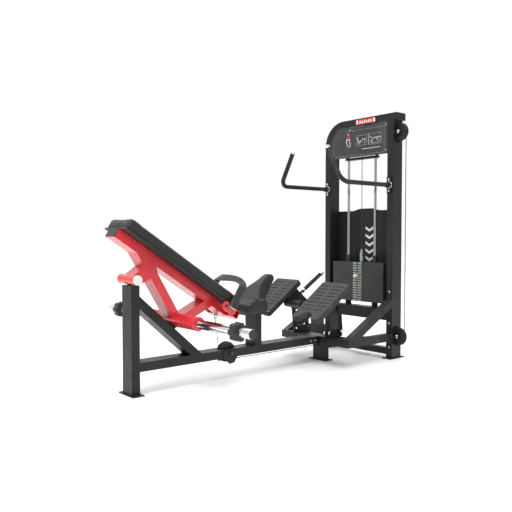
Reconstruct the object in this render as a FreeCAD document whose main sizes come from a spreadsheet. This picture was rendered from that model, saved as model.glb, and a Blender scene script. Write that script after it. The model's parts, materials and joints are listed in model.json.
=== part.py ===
"""Selectorised hip-thrust and leg machine: a pivoting bench, a hip belt, two foot plates and a weight stack.

Frame, in millimetres: the origin is the bottom centre of the head post's foot plate, +X runs along the
machine towards the weight-stack tower, +Z is up, and the near side is -Y.
"""
import FreeCAD, Part
import math
import os
import Sketcher

DRIVING_SIZES = {
    # rectangular frame tube
    "tube_wide": 100, "tube_thin": 50, "tube_wall": 3,
    # foot plates under the posts
    "foot_thick": 6, "foot_lip": 29, "foot_edge": 10, "foot_hole": 6, "foot_reach": 65,
    # base
    "base_low": 125, "post_top": 590, "brace_angle": 41.4, "brace_reach": 430,
    "seat_post_rear": 832, "seat_post_top": 364, "seat_board": 12, "crossbar_rear": 1389,
    # tower
    "tower_front": 1839, "tower_half": 316, "tower_top": 1692, "beam_overhang": 25, "bend_outer": 175,
    "side_brace_angle": 28.5, "side_brace_top": 415,
    "stack_beam_low": 261, "stack_beam_size": 80, "low_cross_base": 27, "low_cross_high": 45,
    "panel_low": 1420, "panel_thick": 3, "panel_gap": 4, "shroud_top": 1035, "shroud_hump": 16,
    "sheet_gap": 1.2,
    # weight stack
    "stack_low": 376, "plate_pitch": 17.8, "plate_thick": 17.2, "stack_half": 235, "stack_depth": 96,
    "rod_radius": 10, "rod_half": 124, "rod_top": 1411, "stem_radius": 12, "stem_top": 727, "pin_radius": 5,
    # cable and pulleys
    "cable_radius": 2.5, "pulley_pitch": 50, "pulley_radius": 61.5, "pulley_half": 12, "pulley_web": 6,
    "axle_radius": 10, "run_clear": 0.05, "side_pulley_out": 18, "high_pulley": 1563, "low_pulley": 155,
    "base_pulley": 640, "bracket_thick": 5,
    # bench, measured along and square to its inclined top face
    "bench_angle": 33.26, "pad_head": -56.9, "pad_head_high": 952.3, "pad_long": 826, "pad_wide": 250,
    "pad_thick": 59.5, "board_thick": 10, "rail_start": 5, "rail_long": 845, "belt_bar_long": 40,
    "lug_out": 818,
    "pivot_out": -8, "pivot_high": 621, "pivot_tube_radius": 25, "pivot_half": 88, "pivot_bore": 21,
    "pivot_axle": 12.5, "strut_a_angle": 59.2, "strut_a_foot": 266, "strut_a_long": 483,
    "strut_b_angle": 24.4, "strut_b_high": 363.5, "strut_b_long": 265,
    # weight horns on the bench
    "horn_out": 258, "horn_high": 385, "horn_box": 56, "horn_box_half": 255, "horn_radius": 25,
    "horn_end": 710, "flange_radius": 39, "flange_thick": 8, "collar_at": 597, "collar_half": 22,
    "collar_radius": 48, "stop_groove": 640,
    # hip belt
    "bracket_first": 775, "bracket_last": 831, "bracket_drop": 92, "bracket_radius": 26, "bracket_in": 130,
    "bracket_plate": 6, "belt_foot": 816, "belt_drop": 81, "belt_wide": 57, "belt_thick": 10,
    "belt_reach": 147,
    "belt_leg": 132, "belt_rise": 63, "belt_lean": -28, "belt_twist": -69,
    # foot platform
    "tread_long": 359, "tread_wide": 232, "tread_in": 111, "tread_thick": 36, "tread_angle": 34.8,
    "tread_out": 1075, "tread_low": 343, "heel_notch": 55, "swing_rear": 1372, "swing_gap": 118,
    "swing_low": 210, "swing_back": 17, "swing_high": 155, "side_plate_in": 146, "side_plate": 8,
    "cross_tube_out": 1280, "cross_tube_high": 390, "lever_rise": 32,
    # handles on the tower
    "handle_high": 1200, "handle_out": 287, "handle_radius": 15, "handle_bend": 60, "handle_reach": 477,
    "handle_rise": 252, "handle_lean": 28.9,
}

doc = FreeCAD.newDocument("machine")
sheet = doc.addObject("Spreadsheet::Sheet", "Sizes")
for row, (alias, number) in enumerate(DRIVING_SIZES.items(), start=1):
    sheet.set(f"A{row}", alias)
    sheet.set(f"B{row}", str(number))
    sheet.setAlias(f"B{row}", alias)
doc.recompute()


class Size:
    """A length or angle that knows both its number and the sheet formula that gives it."""

    def __init__(self, number, text):
        self.number = float(number)
        self.text = text

    def __add__(self, other):
        other = as_size(other)
        return Size(self.number + other.number, f"({self.text} + {other.text})")

    def __sub__(self, other):
        other = as_size(other)
        return Size(self.number - other.number, f"({self.text} - {other.text})")

    def __mul__(self, other):
        other = as_size(other)
        return Size(self.number * other.number, f"({self.text} * {other.text})")

    def __truediv__(self, other):
        other = as_size(other)
        return Size(self.number / other.number, f"({self.text} / {other.text})")

    def __rsub__(self, other):
        return as_size(other) - self

    def __neg__(self):
        return self * -1

    __radd__ = __add__
    __rmul__ = __mul__


def as_size(item):
    return item if isinstance(item, Size) else Size(item, f"({float(item)!r})")


def sine(angle):
    return Size(math.sin(math.radians(angle.number)), f"sin({angle.text})")


def cosine(angle):
    return Size(math.cos(math.radians(angle.number)), f"cos({angle.text})")


class Sheet:
    """Reads a driving size by its alias."""

    def __getattr__(self, alias):
        return Size(sheet.get(alias), "Sizes." + alias)


S = Sheet()
NODES = []
ALONG = {"x": ((0, 1, 0), 90), "y": ((-1, 0, 0), 90), "z": ((0, 0, 1), 0)}


# ---------------------------------------------------------------- helpers
def bind(item, **formulas):
    for prop, size in formulas.items():
        item.setExpression(prop, as_size(size).text)


def place(item, x=0, y=0, z=0, about=(0, 0, 1), turn=0):
    """Puts an object at a point, turned about an axis through it."""
    turn = as_size(turn)
    item.Placement = FreeCAD.Placement(FreeCAD.Vector(), FreeCAD.Rotation(FreeCAD.Vector(*about),
                                                                          turn.number))
    for axis, size in (("x", x), ("y", y), ("z", z)):
        item.setExpression("Placement.Base." + axis, as_size(size).text)
    if turn.text.startswith("Sizes"):
        item.setExpression("Placement.Rotation.Angle", turn.text)
    return item


def node(item, label):
    item.Label = label
    NODES.append(item)
    return item


def box(x, y, z, long, wide, high):
    item = doc.addObject("Part::Box", "block")
    bind(item, Length=long, Width=wide, Height=high)
    return place(item, x, y, z)


def cylinder(x, y, z, radius, height, along="z"):
    item = doc.addObject("Part::Cylinder", "round_bar")
    bind(item, Radius=radius, Height=height)
    return place(item, x, y, z, *ALONG[along])


def cone(x, y, z, first, last, height, about, turn):
    item = doc.addObject("Part::Cone", "taper")
    bind(item, Radius1=first, Radius2=last, Height=height)
    return place(item, x, y, z, about, turn)


def fuse(*items):
    item = doc.addObject("Part::MultiFuse", "joined")
    item.Shapes = list(items)
    return item


def cut(base, *tools):
    item = doc.addObject("Part::Cut", "trimmed")
    item.Base = base
    item.Tool = tools[0] if len(tools) == 1 else fuse(*tools)
    return item


def group(*items):
    item = doc.addObject("Part::Compound", "group")
    item.Links = list(items)
    return item


def mirror(source):
    """The same piece on the other side of the machine's middle plane."""
    item = doc.addObject("Part::Mirroring", "mirrored")
    item.Source = source
    item.Base = FreeCAD.Vector(0, 0, 0)
    item.Normal = FreeCAD.Vector(0, 1, 0)
    return item


def pair(source):
    return group(source, mirror(source))


def tube(x, y, z, long, wide, high, along):
    """Rectangular tube, open at both ends of the axis it runs along."""
    outside = box(x, y, z, long, wide, high)
    spare = 1
    low, size = [], []
    for axis, start, span in (("x", x, long), ("y", y, wide), ("z", z, high)):
        inset = -spare if axis == along else S.tube_wall
        low.append(as_size(start) + inset)
        size.append(as_size(span) - 2 * as_size(inset))
    return cut(outside, box(*low, *size))


def button_head(x, y, z, radius, facing):
    """Domed bolt head that stands out along -X, -Y, +Y or +X."""
    about, turn, step = {"-x": ((0, -1, 0), 90, (-1, 0)), "+x": ((0, 1, 0), 90, (1, 0)),
                         "-y": ((1, 0, 0), 90, (0, -1)), "+y": ((-1, 0, 0), 90, (0, 1))}[facing]
    rim, dome = 3, 3
    base = doc.addObject("Part::Cylinder", "rim")
    bind(base, Radius=radius, Height=rim)
    place(base, x, y, z, about, turn)
    top = cone(as_size(x) + step[0] * rim, as_size(y) + step[1] * rim, z,
               radius, radius * 0.62, dome, about, turn)
    return fuse(base, top)


def origin_plane(body, role):
    return [item for item in body.Origin.OriginFeatures if item.Role == role][0]


def sketch(body, name, role, outline=(), holes=()):
    """Sketch of a closed outline and round holes, every corner bound to the sheet."""
    item = body.newObject("Sketcher::SketchObject", name)
    item.AttachmentSupport = [(origin_plane(body, role), "")]
    item.MapMode = "FlatFace"
    corners = [(as_size(a), as_size(b)) for a, b in outline]
    last = len(corners) - 1
    for spot, (a, b) in enumerate(corners):
        c, d = corners[0 if spot == last else spot + 1]
        item.addGeometry(Part.LineSegment(FreeCAD.Vector(a.number, b.number, 0),
                                          FreeCAD.Vector(c.number, d.number, 0)))
    for spot in range(len(corners)):
        item.addConstraint(Sketcher.Constraint("Coincident", spot, 2, 0 if spot == last else spot + 1, 1))
    for spot, (a, b) in enumerate(corners):
        fix_point(item, spot, 1, a, b)
    for a, b, radius in holes:
        a, b, radius = as_size(a), as_size(b), as_size(radius)
        circle = Part.Circle(FreeCAD.Vector(a.number, b.number, 0), FreeCAD.Vector(0, 0, 1), radius.number)
        spot = item.addGeometry(circle)
        fix_point(item, spot, 3, a, b)
        rule = item.addConstraint(Sketcher.Constraint("Radius", spot, radius.number))
        item.setExpression(f"Constraints[{rule}]", radius.text)
    return item


def fix_point(item, spot, end, a, b):
    for kind, size in (("DistanceX", a), ("DistanceY", b)):
        rule = item.addConstraint(Sketcher.Constraint(kind, -1, 1, spot, end, size.number))
        item.setExpression(f"Constraints[{rule}]", size.text)


def padded_body(name, role, thickness, outline, holes=()):
    """Plate or prism padded evenly to both sides of an origin plane."""
    body = doc.addObject("PartDesign::Body", name)
    pad = body.newObject("PartDesign::Pad", name + "_pad")
    pad.Profile = sketch(body, name + "_outline", role, outline, holes)
    pad.SideType = "Symmetric"
    bind(pad, Length=thickness)
    doc.recompute()
    return body


def round_corners(body, radius, chosen):
    """Fillets the edges that a test picks from their middle point and direction."""
    solid = body.Tip
    names = []
    for count, edge in enumerate(solid.Shape.Edges, start=1):
        middle = edge.valueAt((edge.FirstParameter + edge.LastParameter) / 2)
        if edge.Length > 1 and chosen(middle, edge):
            names.append(f"Edge{count}")
    fillet = body.newObject("PartDesign::Fillet", "rounding")
    fillet.Base = (solid, names)
    bind(fillet, Radius=radius)
    body.Tip = fillet
    doc.recompute()
    return body


def runs(edge, x, y, z):
    """True for a straight edge that runs along the given direction."""
    if edge.Curve.TypeId != "Part::GeomLine":
        return False
    way = edge.Curve.Direction
    return abs(abs(way.x * x + way.y * y + way.z * z) - 1) < 1e-6


def on_bench(along, rise):
    """World X and Z of a point measured along the bench's top face and square to it."""
    x = S.pad_head + as_size(along) * cosine(S.bench_angle) + as_size(rise) * sine(S.bench_angle)
    z = S.pad_head_high - as_size(along) * sine(S.bench_angle) + as_size(rise) * cosine(S.bench_angle)
    return x, z


def tilt_to_bench(item, along, rise, y=0):
    x, z = on_bench(along, rise)
    return place(item, x, y, z, (0, 1, 0), S.bench_angle)


half_wide = S.tube_wide / 2
half_thin = S.tube_thin / 2
base_top = S.base_low + S.tube_thin
column = S.tower_front + half_wide
front_post_rear = S.crossbar_rear + half_wide
beam_end = S.crossbar_rear


# ---------------------------------------------------------------- base frame
def foot_plate(x, y, long, wide, hole_x, hole_y):
    plate = box(x, y, 0, long, wide, S.foot_thick)
    middle_x = as_size(x) + long / 2
    middle_y = as_size(y) + wide / 2
    holes = [cylinder(middle_x + side * hole_x, middle_y + side * hole_y, -1, S.foot_hole, S.foot_thick + 2)
             for side in (-1, 1)]
    return cut(plate, *holes)


def make_foot_plates():
    long = S.tube_thin + 2 * S.foot_edge
    wide = S.tube_wide + 2 * S.foot_lip
    head = foot_plate(-half_thin - S.foot_edge, -wide / 2, long, wide, 0, S.foot_reach)
    front = foot_plate(front_post_rear - S.foot_edge, -wide / 2, long, wide, 0, S.foot_reach)
    near = foot_plate(S.tower_front - S.foot_lip, -S.tower_half - S.foot_edge, wide, long, S.foot_reach, 0)
    node(group(head, front, near, mirror(near)), "foot_plates")


def make_base():
    head_outside = box(-half_thin, -half_wide, S.foot_thick, S.tube_thin, S.tube_wide,
                       S.post_top - S.foot_thick)
    head_inside = box(S.tube_wall - half_thin, S.tube_wall - half_wide, 0,
                      S.tube_thin - 2 * S.tube_wall, S.tube_wide - 2 * S.tube_wall, S.post_top - S.tube_wall)
    ring = cylinder(S.pivot_out, -9, S.pivot_high, S.pivot_bore - 1.5, 18, "y")
    neck = box(S.pivot_out - 8, -9, S.post_top, 16, 18, S.pivot_high - S.post_top)
    eye = cylinder(S.pivot_out, -10, S.pivot_high, S.pivot_axle, 20, "y")
    node(group(cut(head_outside, head_inside), cut(fuse(ring, neck), eye)), "head_post")

    beam = tube(half_thin, -half_wide, S.base_low, beam_end - half_thin, S.tube_wide, S.tube_thin, "x")
    slot_half = S.pulley_half + 3
    slot = box(S.base_pulley - S.pulley_radius - 6, -slot_half, S.base_low - 1,
               2 * S.pulley_radius + 12, 2 * slot_half, S.tube_thin + 2)
    axle = cylinder(S.base_pulley, -half_wide - 1, S.low_pulley, S.axle_radius, S.tube_wide + 2, "y")
    node(cut(beam, slot, axle), "base_beam")

    brace_start = S.brace_reach
    brace = tube(-S.tube_wide * 7, -half_wide, -S.tube_thin, S.tube_wide * 8, S.tube_wide, S.tube_thin, "x")
    place(brace, brace_start, 0, base_top, (0, 1, 0), S.brace_angle)
    behind = box(-S.tube_wide * 5, -S.tube_wide, 0, S.tube_wide * 5 + half_thin, 2 * S.tube_wide,
                 S.tube_wide * 9)
    below = box(-S.tube_wide, -S.tube_wide, -S.tube_wide, S.tube_wide * 8, 2 * S.tube_wide,
                base_top + S.tube_wide)
    node(cut(brace, behind, below), "head_brace")

    bumper_high = (S.horn_out - S.brace_reach) * sine(S.brace_angle) \
        + (S.horn_high - base_top) * cosine(S.brace_angle) - S.horn_box / 2
    along = ((S.horn_out - S.brace_reach) * cosine(S.brace_angle)
             - (S.horn_high - base_top) * sine(S.brace_angle))
    stop = box(along - 20, -30, 0, 56, 60, bumper_high - 0.3)
    place_stop = place(group(stop), S.brace_reach, 0, base_top, (0, 1, 0), S.brace_angle)
    cushions = [cylinder(column, side * S.rod_half, S.stack_beam_low + S.stack_beam_size, 22,
                         S.stack_low - S.stack_beam_low - S.stack_beam_size) for side in (-1, 1)]
    hollow = [cylinder(column, side * S.rod_half, S.stack_beam_low, S.rod_radius, S.tube_wide * 2)
              for side in (-1, 1)]
    node(group(place_stop, cut(cushions[0], hollow[0]), cut(cushions[1], hollow[1])), "rubber_bumpers")

    post = tube(S.seat_post_rear, -half_wide, base_top, S.tube_thin, S.tube_wide,
                S.seat_post_top - base_top, "z")
    seat_middle = S.seat_post_rear + half_thin
    flange = box(seat_middle - 60, -60, S.seat_post_top, 120, 120, S.foot_thick)
    board = box(S.seat_post_rear - 90, -80, S.seat_post_top + S.foot_thick, 190, 160, S.seat_board)
    node(group(post, flange, board), "seat_post")

    front = tube(front_post_rear, -half_wide, S.foot_thick, S.tube_thin, S.tube_wide,
                 S.base_low - S.foot_thick, "z")
    passage = cylinder(front_post_rear - 1, 0, S.low_pulley - S.pulley_pitch, 9, S.tube_thin + 2, "x")

    crossbar = tube(S.crossbar_rear, -S.tower_half, S.base_low, S.tube_wide, 2 * S.tower_half, S.tube_thin,
                    "y")
    end_plate = cut(box(S.crossbar_rear, -S.tower_half, S.base_low, S.tube_wide, S.tube_wall, S.tube_thin),
                    cylinder(S.crossbar_rear + half_wide, -S.tower_half - 1, S.base_low + half_thin,
                             5, S.tube_wall + 2, "y"))
    crossbar = fuse(crossbar, end_plate, mirror(end_plate))
    side_start = S.crossbar_rear + S.tube_wide
    side = tube(side_start, -S.tower_half, S.base_low, S.tower_front - side_start, S.tube_thin, S.tube_thin,
                "x")
    node(group(cut(front, passage), crossbar, side, mirror(side)), "base_cross_frame")

    brace = tube(-S.tube_wide * 6, 0, -S.tube_thin, S.tube_wide * 7, S.tube_thin, S.tube_thin, "x")
    place(brace, S.tower_front, -S.tower_half, S.side_brace_top, (0, -1, 0), S.side_brace_angle)
    ahead = box(S.tower_front, -S.tower_half - 9, 0, S.tube_wide * 5, S.tube_wide, S.tube_wide * 9)
    below = box(S.tower_front - S.tube_wide * 9, -S.tower_half - 9, -S.tube_wide * 3,
                S.tube_wide * 9, S.tube_wide, base_top + S.tube_wide * 3)
    node(pair(cut(brace, ahead, below)), "side_braces")


# ---------------------------------------------------------------- tower
def make_tower():
    straight_top = S.tower_top - S.bend_outer
    low_outside = tube(S.tower_front, -S.tower_half, S.foot_thick, S.tube_wide, S.tube_thin,
                       S.tower_top - S.tube_thin - S.foot_thick, "z")
    cable_in = S.pulley_pitch
    openings = []
    for centre, exit_high in ((S.high_pulley, S.high_pulley + cable_in),
                              (S.low_pulley, S.low_pulley - cable_in)):
        reach = S.pulley_radius + 6
        openings.append(box(column - S.pulley_half - 3, -S.tower_half - 1, centre - reach,
                            2 * S.pulley_half + 6, S.tube_wall + 30, 2 * reach))
        openings.append(cylinder(column, -S.tower_half - 1, exit_high, 8, S.tube_wide, "y"))
    near = cut(low_outside, *openings)
    far = tube(S.tower_front, S.tower_half - S.tube_thin, S.foot_thick, S.tube_wide, S.tube_thin,
               straight_top - S.foot_thick, "z")
    node(group(near, far), "tower_uprights")

    bend_start = S.tower_half - S.bend_outer
    beam_start = -S.tower_half - S.beam_overhang
    beam = tube(S.tower_front, beam_start, S.tower_top - S.tube_thin, S.tube_wide,
                bend_start - beam_start, S.tube_thin, "y")
    cap = box(S.tower_front + S.tube_wall, beam_start, S.tower_top - S.tube_thin + S.tube_wall,
              S.tube_wide - 2 * S.tube_wall, 2, S.tube_thin - 2 * S.tube_wall)
    rings = []
    for inset in (as_size(0), S.tube_wall):
        for radius in (S.bend_outer - inset, S.bend_outer - S.tube_thin + inset):
            ring = doc.addObject("Part::Cylinder", "quarter")
            bind(ring, Radius=radius, Height=S.tube_wide - 2 * inset, Angle=90)
            place(ring, S.tower_front + inset, bend_start, straight_top, (1, 1, 1), 120)
            rings.append(ring)
    bend = cut(cut(rings[0], rings[1]), cut(rings[2], rings[3]))
    node(group(beam, cap, bend), "top_beam")

    inner = S.tower_half - S.tube_thin
    stack_beam = tube(column - S.stack_beam_size / 2, -inner, S.stack_beam_low,
                      S.stack_beam_size, 2 * inner, S.stack_beam_size, "y")
    rod_holes = [cylinder(column, side * S.rod_half, S.stack_beam_low - 1, S.rod_radius, S.tube_wide)
                 for side in (-1, 1)]
    low_cross = tube(S.tower_front, -inner, S.low_cross_base, S.tube_thin, 2 * inner, S.low_cross_high, "y")
    node(group(cut(stack_beam, *rod_holes), low_cross), "tower_cross_tubes")

    rod_foot = S.stack_beam_low + S.tube_wall
    node(group(*[cylinder(column, side * S.rod_half, rod_foot, S.rod_radius, S.rod_top - rod_foot)
                 for side in (-1, 1)]), "guide_rods")
    make_panels(inner, straight_top)


def make_panels(inner, straight_top):
    """Instruction panel, red header plate and the bowed guard behind the stack."""
    clear = 3
    body = padded_body("panel_sheet", "YZ_Plane", S.panel_thick, [
        (clear - inner, S.panel_low), (inner - clear, S.panel_low),
        (inner - clear, S.tower_top - S.tube_thin - clear),
        (clear - inner, S.tower_top - S.tube_thin - clear)])
    top_corner = inner.number - clear
    round_corners(body, S.bend_outer - S.tube_thin - clear,
                  lambda spot, edge: runs(edge, 1, 0, 0) and spot.y > top_corner - 1
                  and spot.z > S.panel_low.number + 9)
    place(body, S.tower_front + S.panel_gap, 0, 0)
    node(body, "instruction_panel")

    header = box(S.tower_front - 2, -160, S.tower_top - 42, 2, 176, 34)
    node(header, "header_plate")

    back = S.tower_front + S.tube_wide + S.sheet_gap
    reach = S.tower_half - clear
    shroud_low = S.stack_low + 4
    hump = S.rod_half
    outline = [(-reach, shroud_low), (reach, shroud_low), (reach, S.shroud_top),
               (hump, S.shroud_top), (hump / 2, S.shroud_top + S.shroud_hump),
               (-hump / 2, S.shroud_top + S.shroud_hump), (-hump, S.shroud_top), (-reach, S.shroud_top)]
    sheet_body = padded_body("shroud_sheet", "YZ_Plane", 2, outline)
    low_hump = S.shroud_top.number
    round_corners(sheet_body, hump, lambda spot, edge: runs(edge, 1, 0, 0) and spot.z > low_hump - 1
                  and abs(spot.y) < hump.number + 1)
    place(sheet_body, back, 0, 0)
    node(sheet_body, "rear_guard")


# ---------------------------------------------------------------- handles
def make_handles():
    straight = S.handle_reach - S.handle_bend
    bar = cylinder(-straight, 0, 0, S.handle_radius, straight, "x")
    bend = doc.addObject("Part::Torus", "bend")
    bind(bend, Radius1=S.handle_bend, Radius2=S.handle_radius, Angle3=90)
    place(bend, -straight, 0, S.handle_bend, (0, 1, -1), 180)
    riser = cylinder(-S.handle_reach, 0, S.handle_bend, S.handle_radius, S.handle_rise - S.handle_bend)
    rod = fuse(bar, bend, riser)
    boss = cut(cylinder(-22, 0, 0, S.handle_radius + 5, 22, "x"),
               cylinder(-23, 0, 0, S.handle_radius, 24, "x"))
    cap = fuse(cylinder(-S.handle_reach, 0, S.handle_rise, S.handle_radius + 2, 6),
               cone(-S.handle_reach, 0, S.handle_rise + 6, S.handle_radius + 2, S.handle_radius + 4, 5,
                    (0, 0, 1), 0),
               cylinder(-S.handle_reach, 0, S.handle_rise + 11, S.handle_radius + 4, 5))
    front = S.tower_front - 10
    for piece in (rod, boss, cap):
        place(piece, front, -S.handle_out, S.handle_high, (-1, 0, 0), S.handle_lean)
    plate = box(front, -S.handle_out - 18, S.handle_high - 56, 10, 36, 112)
    node(pair(group(rod, boss, plate)), "handle_bars")
    node(pair(cap), "handle_caps")


# ---------------------------------------------------------------- weight stack
LIFTED_PLATES = 6
ALL_PLATES = 16


def weight_plate(number):
    """Plate counted from the bottom, with bores for the two guide rods and the stem."""
    low = S.stack_low + number * S.plate_pitch
    plate = box(column - S.stack_depth / 2, -S.stack_half, low, S.stack_depth, 2 * S.stack_half,
                S.plate_thick)
    bores = [cylinder(column, side * S.rod_half, low - 1, S.rod_radius + S.run_clear, S.plate_thick + 2)
             for side in (-1, 1)]
    bores.append(cylinder(column, 0, low - 1, S.stem_radius + S.run_clear, S.plate_thick + 2))
    if number == ALL_PLATES - LIFTED_PLATES:
        bores.append(cylinder(column - S.stack_depth, 0, low + S.plate_thick / 2, S.pin_radius + S.run_clear,
                              S.stack_depth, "x"))
    return cut(plate, *bores)


def make_stack():
    first_lifted = ALL_PLATES - LIFTED_PLATES
    node(group(*[weight_plate(number) for number in range(first_lifted)]), "resting_plates")
    stack_top = S.stack_low + (ALL_PLATES - 1) * S.plate_pitch + S.plate_thick
    sleeves = [cut(cylinder(column, side * S.rod_half, stack_top, S.rod_radius + 9, 50),
                   cylinder(column, side * S.rod_half, stack_top - 1, S.rod_radius + S.run_clear, 52))
               for side in (-1, 1)]
    lifted = [weight_plate(number) for number in range(first_lifted, ALL_PLATES)]
    node(group(*lifted, *sleeves), "lifted_plates")

    pin_high = S.stack_low + first_lifted * S.plate_pitch + S.plate_thick / 2
    stem = cylinder(column, 0, S.stack_low + 4, S.stem_radius, S.stem_top - S.stack_low - 4)
    pin_hole = cylinder(column - 30, 0, pin_high, S.pin_radius + S.run_clear, 60, "x")
    eye = cylinder(column, 0, S.stem_top, 8, 16)
    cable_seat = cylinder(column, 0, S.stem_top + 16, 5, 12)
    node(fuse(cut(stem, pin_hole), eye, cable_seat), "selector_stem")

    front = column - S.stack_depth / 2
    shaft = cylinder(front - 6, 0, pin_high, S.pin_radius, S.stack_depth / 2 + 4 + S.stem_radius, "x")
    knob = cylinder(front - 30, 0, pin_high, 11, 24, "x")
    node(fuse(shaft, knob), "selector_pin")


# ---------------------------------------------------------------- pulleys and cable
def pulley(label, x, y, z, about, turn):
    rim = S.pulley_radius
    root = S.pulley_pitch - S.cable_radius - S.run_clear
    bore = S.axle_radius + S.run_clear
    hub = 20
    web_end = 44
    throat = 2.8
    mouth = 9
    half = [(bore, 0), (bore, S.pulley_half), (hub, S.pulley_half), (hub, S.pulley_web),
            (web_end, S.pulley_web),
            (web_end, S.pulley_half), (rim, S.pulley_half), (rim, mouth), (root, throat), (root, 0)]
    outline = half + [(a, -as_size(b)) for a, b in reversed(half[1:-1])]
    body = doc.addObject("PartDesign::Body", label)
    wheel = body.newObject("PartDesign::Revolution", label + "_turned")
    wheel.Profile = sketch(body, label + "_outline", "XZ_Plane", outline)
    wheel.ReferenceAxis = (wheel.Profile[0], ["V_Axis"])
    wheel.Angle = 360
    doc.recompute()
    place(body, x, y, z, about, turn)
    node(body, label)


def make_pulleys():
    side_y = -S.tower_half - S.side_pulley_out
    pulley("top_side_pulley", column, side_y, S.high_pulley, *ALONG["x"])
    pulley("top_centre_pulley", column, -S.pulley_pitch, S.high_pulley, *ALONG["x"])
    pulley("bottom_side_pulley", column, side_y, S.low_pulley, *ALONG["x"])
    pulley("front_pulley", column - S.pulley_pitch, -S.pulley_pitch, S.low_pulley - S.pulley_pitch,
           *ALONG["z"])
    pulley("base_pulley", S.base_pulley, 0, S.low_pulley, *ALONG["y"])
    make_pulley_brackets(side_y)


def side_bracket(y_far, y_axle, z, offset):
    """One cheek of a pulley fork in a plane square to X, rounded about the axle."""
    reach = S.side_pulley_out
    strip = box(column + offset, y_axle, z - reach, S.bracket_thick, y_far - y_axle, 2 * reach)
    round_end = cylinder(column + offset, y_axle, z, reach, S.bracket_thick, "x")
    bore = cylinder(column + offset - 1, y_axle, z, S.axle_radius, S.bracket_thick + 2, "x")
    return cut(fuse(strip, round_end), bore)


def make_pulley_brackets(side_y):
    gap = S.pulley_half + 3
    cheeks = []
    for z in (S.high_pulley, S.low_pulley):
        for offset in (gap, -gap - S.bracket_thick):
            cheeks.append(side_bracket(-S.tower_half, side_y, z, offset))
    roof = S.tower_top - S.tube_thin
    for offset in (gap, -gap - S.bracket_thick):
        hanger = box(column + offset, -S.pulley_pitch - 20, S.high_pulley, S.bracket_thick, 40,
                     roof - S.high_pulley)
        end = cylinder(column + offset, -S.pulley_pitch, S.high_pulley, 20, S.bracket_thick, "x")
        bore = cylinder(column + offset - 1, -S.pulley_pitch, S.high_pulley, S.axle_radius,
                        S.bracket_thick + 2, "x")
        cheeks.append(cut(fuse(hanger, end), bore))
    strap_y = S.rod_half + 13
    bar = box(column - 20, -strap_y - 6, S.rod_top - 6, 40, 2 * strap_y + 12, 16)
    rod_sockets = [cylinder(column, side * S.rod_half, S.rod_top - 7, S.rod_radius, 7) for side in (-1, 1)]
    way = cylinder(column, 0, S.rod_top - 8, 6, 20)
    straps = [box(column - 15, side * strap_y - 3, S.rod_top + 10, 30, 6,
                  roof - S.rod_top - 10) for side in (-1, 1)]
    cable_way = cylinder(column, -strap_y - 4, S.high_pulley + S.pulley_pitch, 6, 8, "y")
    cheeks += [cut(bar, *rod_sockets, way), cut(straps[0], cable_way), straps[1]]
    floor_bar = S.low_cross_base + S.low_cross_high
    centre_x = column - S.pulley_pitch
    under = S.low_pulley - S.pulley_pitch - S.pulley_half - 3
    shelf = box(centre_x - 30, -S.pulley_pitch - 30, floor_bar, S.tube_thin + 30, 60, under - floor_bar)
    axle_hole = cylinder(centre_x, -S.pulley_pitch, floor_bar - 1, S.axle_radius, S.tube_thin)
    cheeks.append(cut(shelf, axle_hole))

    cheek_low = S.low_pulley - 66
    outline = [(-58, base_top - 6), (-58, S.low_pulley - 22), (-14, cheek_low), (22, cheek_low + 4),
               (56, S.low_pulley - 14), (58, base_top - 6)]
    guard = padded_body("guard_cheek", "XZ_Plane", S.bracket_thick,
                        [(S.base_pulley + a, b) for a, b in outline],
                        [(S.base_pulley, S.low_pulley, S.axle_radius)])
    place(guard, 0, -half_wide - S.bracket_thick / 2, 0)
    node(group(*cheeks, guard, mirror(guard)), "pulley_brackets")


def make_axles():
    side_y = -S.tower_half - S.side_pulley_out
    reach = S.pulley_half + 3 + S.bracket_thick + 5
    axles = []
    for y, z in ((side_y, S.high_pulley), (-S.pulley_pitch, S.high_pulley), (side_y, S.low_pulley)):
        axles.append(cylinder(column - reach, y, z, S.axle_radius, 2 * reach, "x"))
        axles[-1] = fuse(axles[-1], button_head(column - reach, y, z, 13, "-x"), button_head(column + reach,
                                                                                             y, z, 13, "+x"))
    low = S.low_cross_base + S.low_cross_high
    axles.append(cylinder(column - S.pulley_pitch, -S.pulley_pitch, low, S.axle_radius, 52))
    base_reach = half_wide + S.bracket_thick + 4
    base_axle = cylinder(S.base_pulley, -base_reach, S.low_pulley, S.axle_radius, 2 * base_reach, "y")
    axles.append(fuse(base_axle, button_head(S.base_pulley, -base_reach, S.low_pulley, 13, "-y"),
                      button_head(S.base_pulley, base_reach, S.low_pulley, 13, "+y")))
    node(group(*axles), "pulley_axles")


def make_frame_bolts():
    bolts = []
    front = S.tower_front
    for side in (-1, 1):
        for z in (462, 244, 79):
            bolts.append(button_head(front, side * (S.tower_half - half_thin), z, 8, "-x"))
        for z in (36, -39):
            bolts.append(button_head(front - 10, side * S.handle_out, S.handle_high + z, 8, "-x"))
    panel_face = S.tower_front + S.panel_gap - S.panel_thick / 2
    for y, z in ((-250, 25), (-250, 200), (76, 200), (250, 25)):
        bolts.append(button_head(panel_face, y, S.panel_low + z, 5, "-x"))
    for side, facing in ((-1, "-y"), (1, "+y")):
        for x in (70, 30):
            bolts.append(button_head(S.crossbar_rear - x, side * half_wide, S.base_low + half_thin, 8,
                                     facing))
    for x in (S.swing_rear, S.swing_rear + S.swing_gap):
        bolts.append(pair(swing_pin(x, S.swing_low)))
    node(group(*bolts), "frame_bolts")


def bench_cable_end():
    """World X and Z of the bottom of the cable's end fitting under the bench."""
    x, z = on_bench(S.lug_out, -S.pad_thick - S.board_thick - S.tube_thin)
    return x, z - 60


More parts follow.
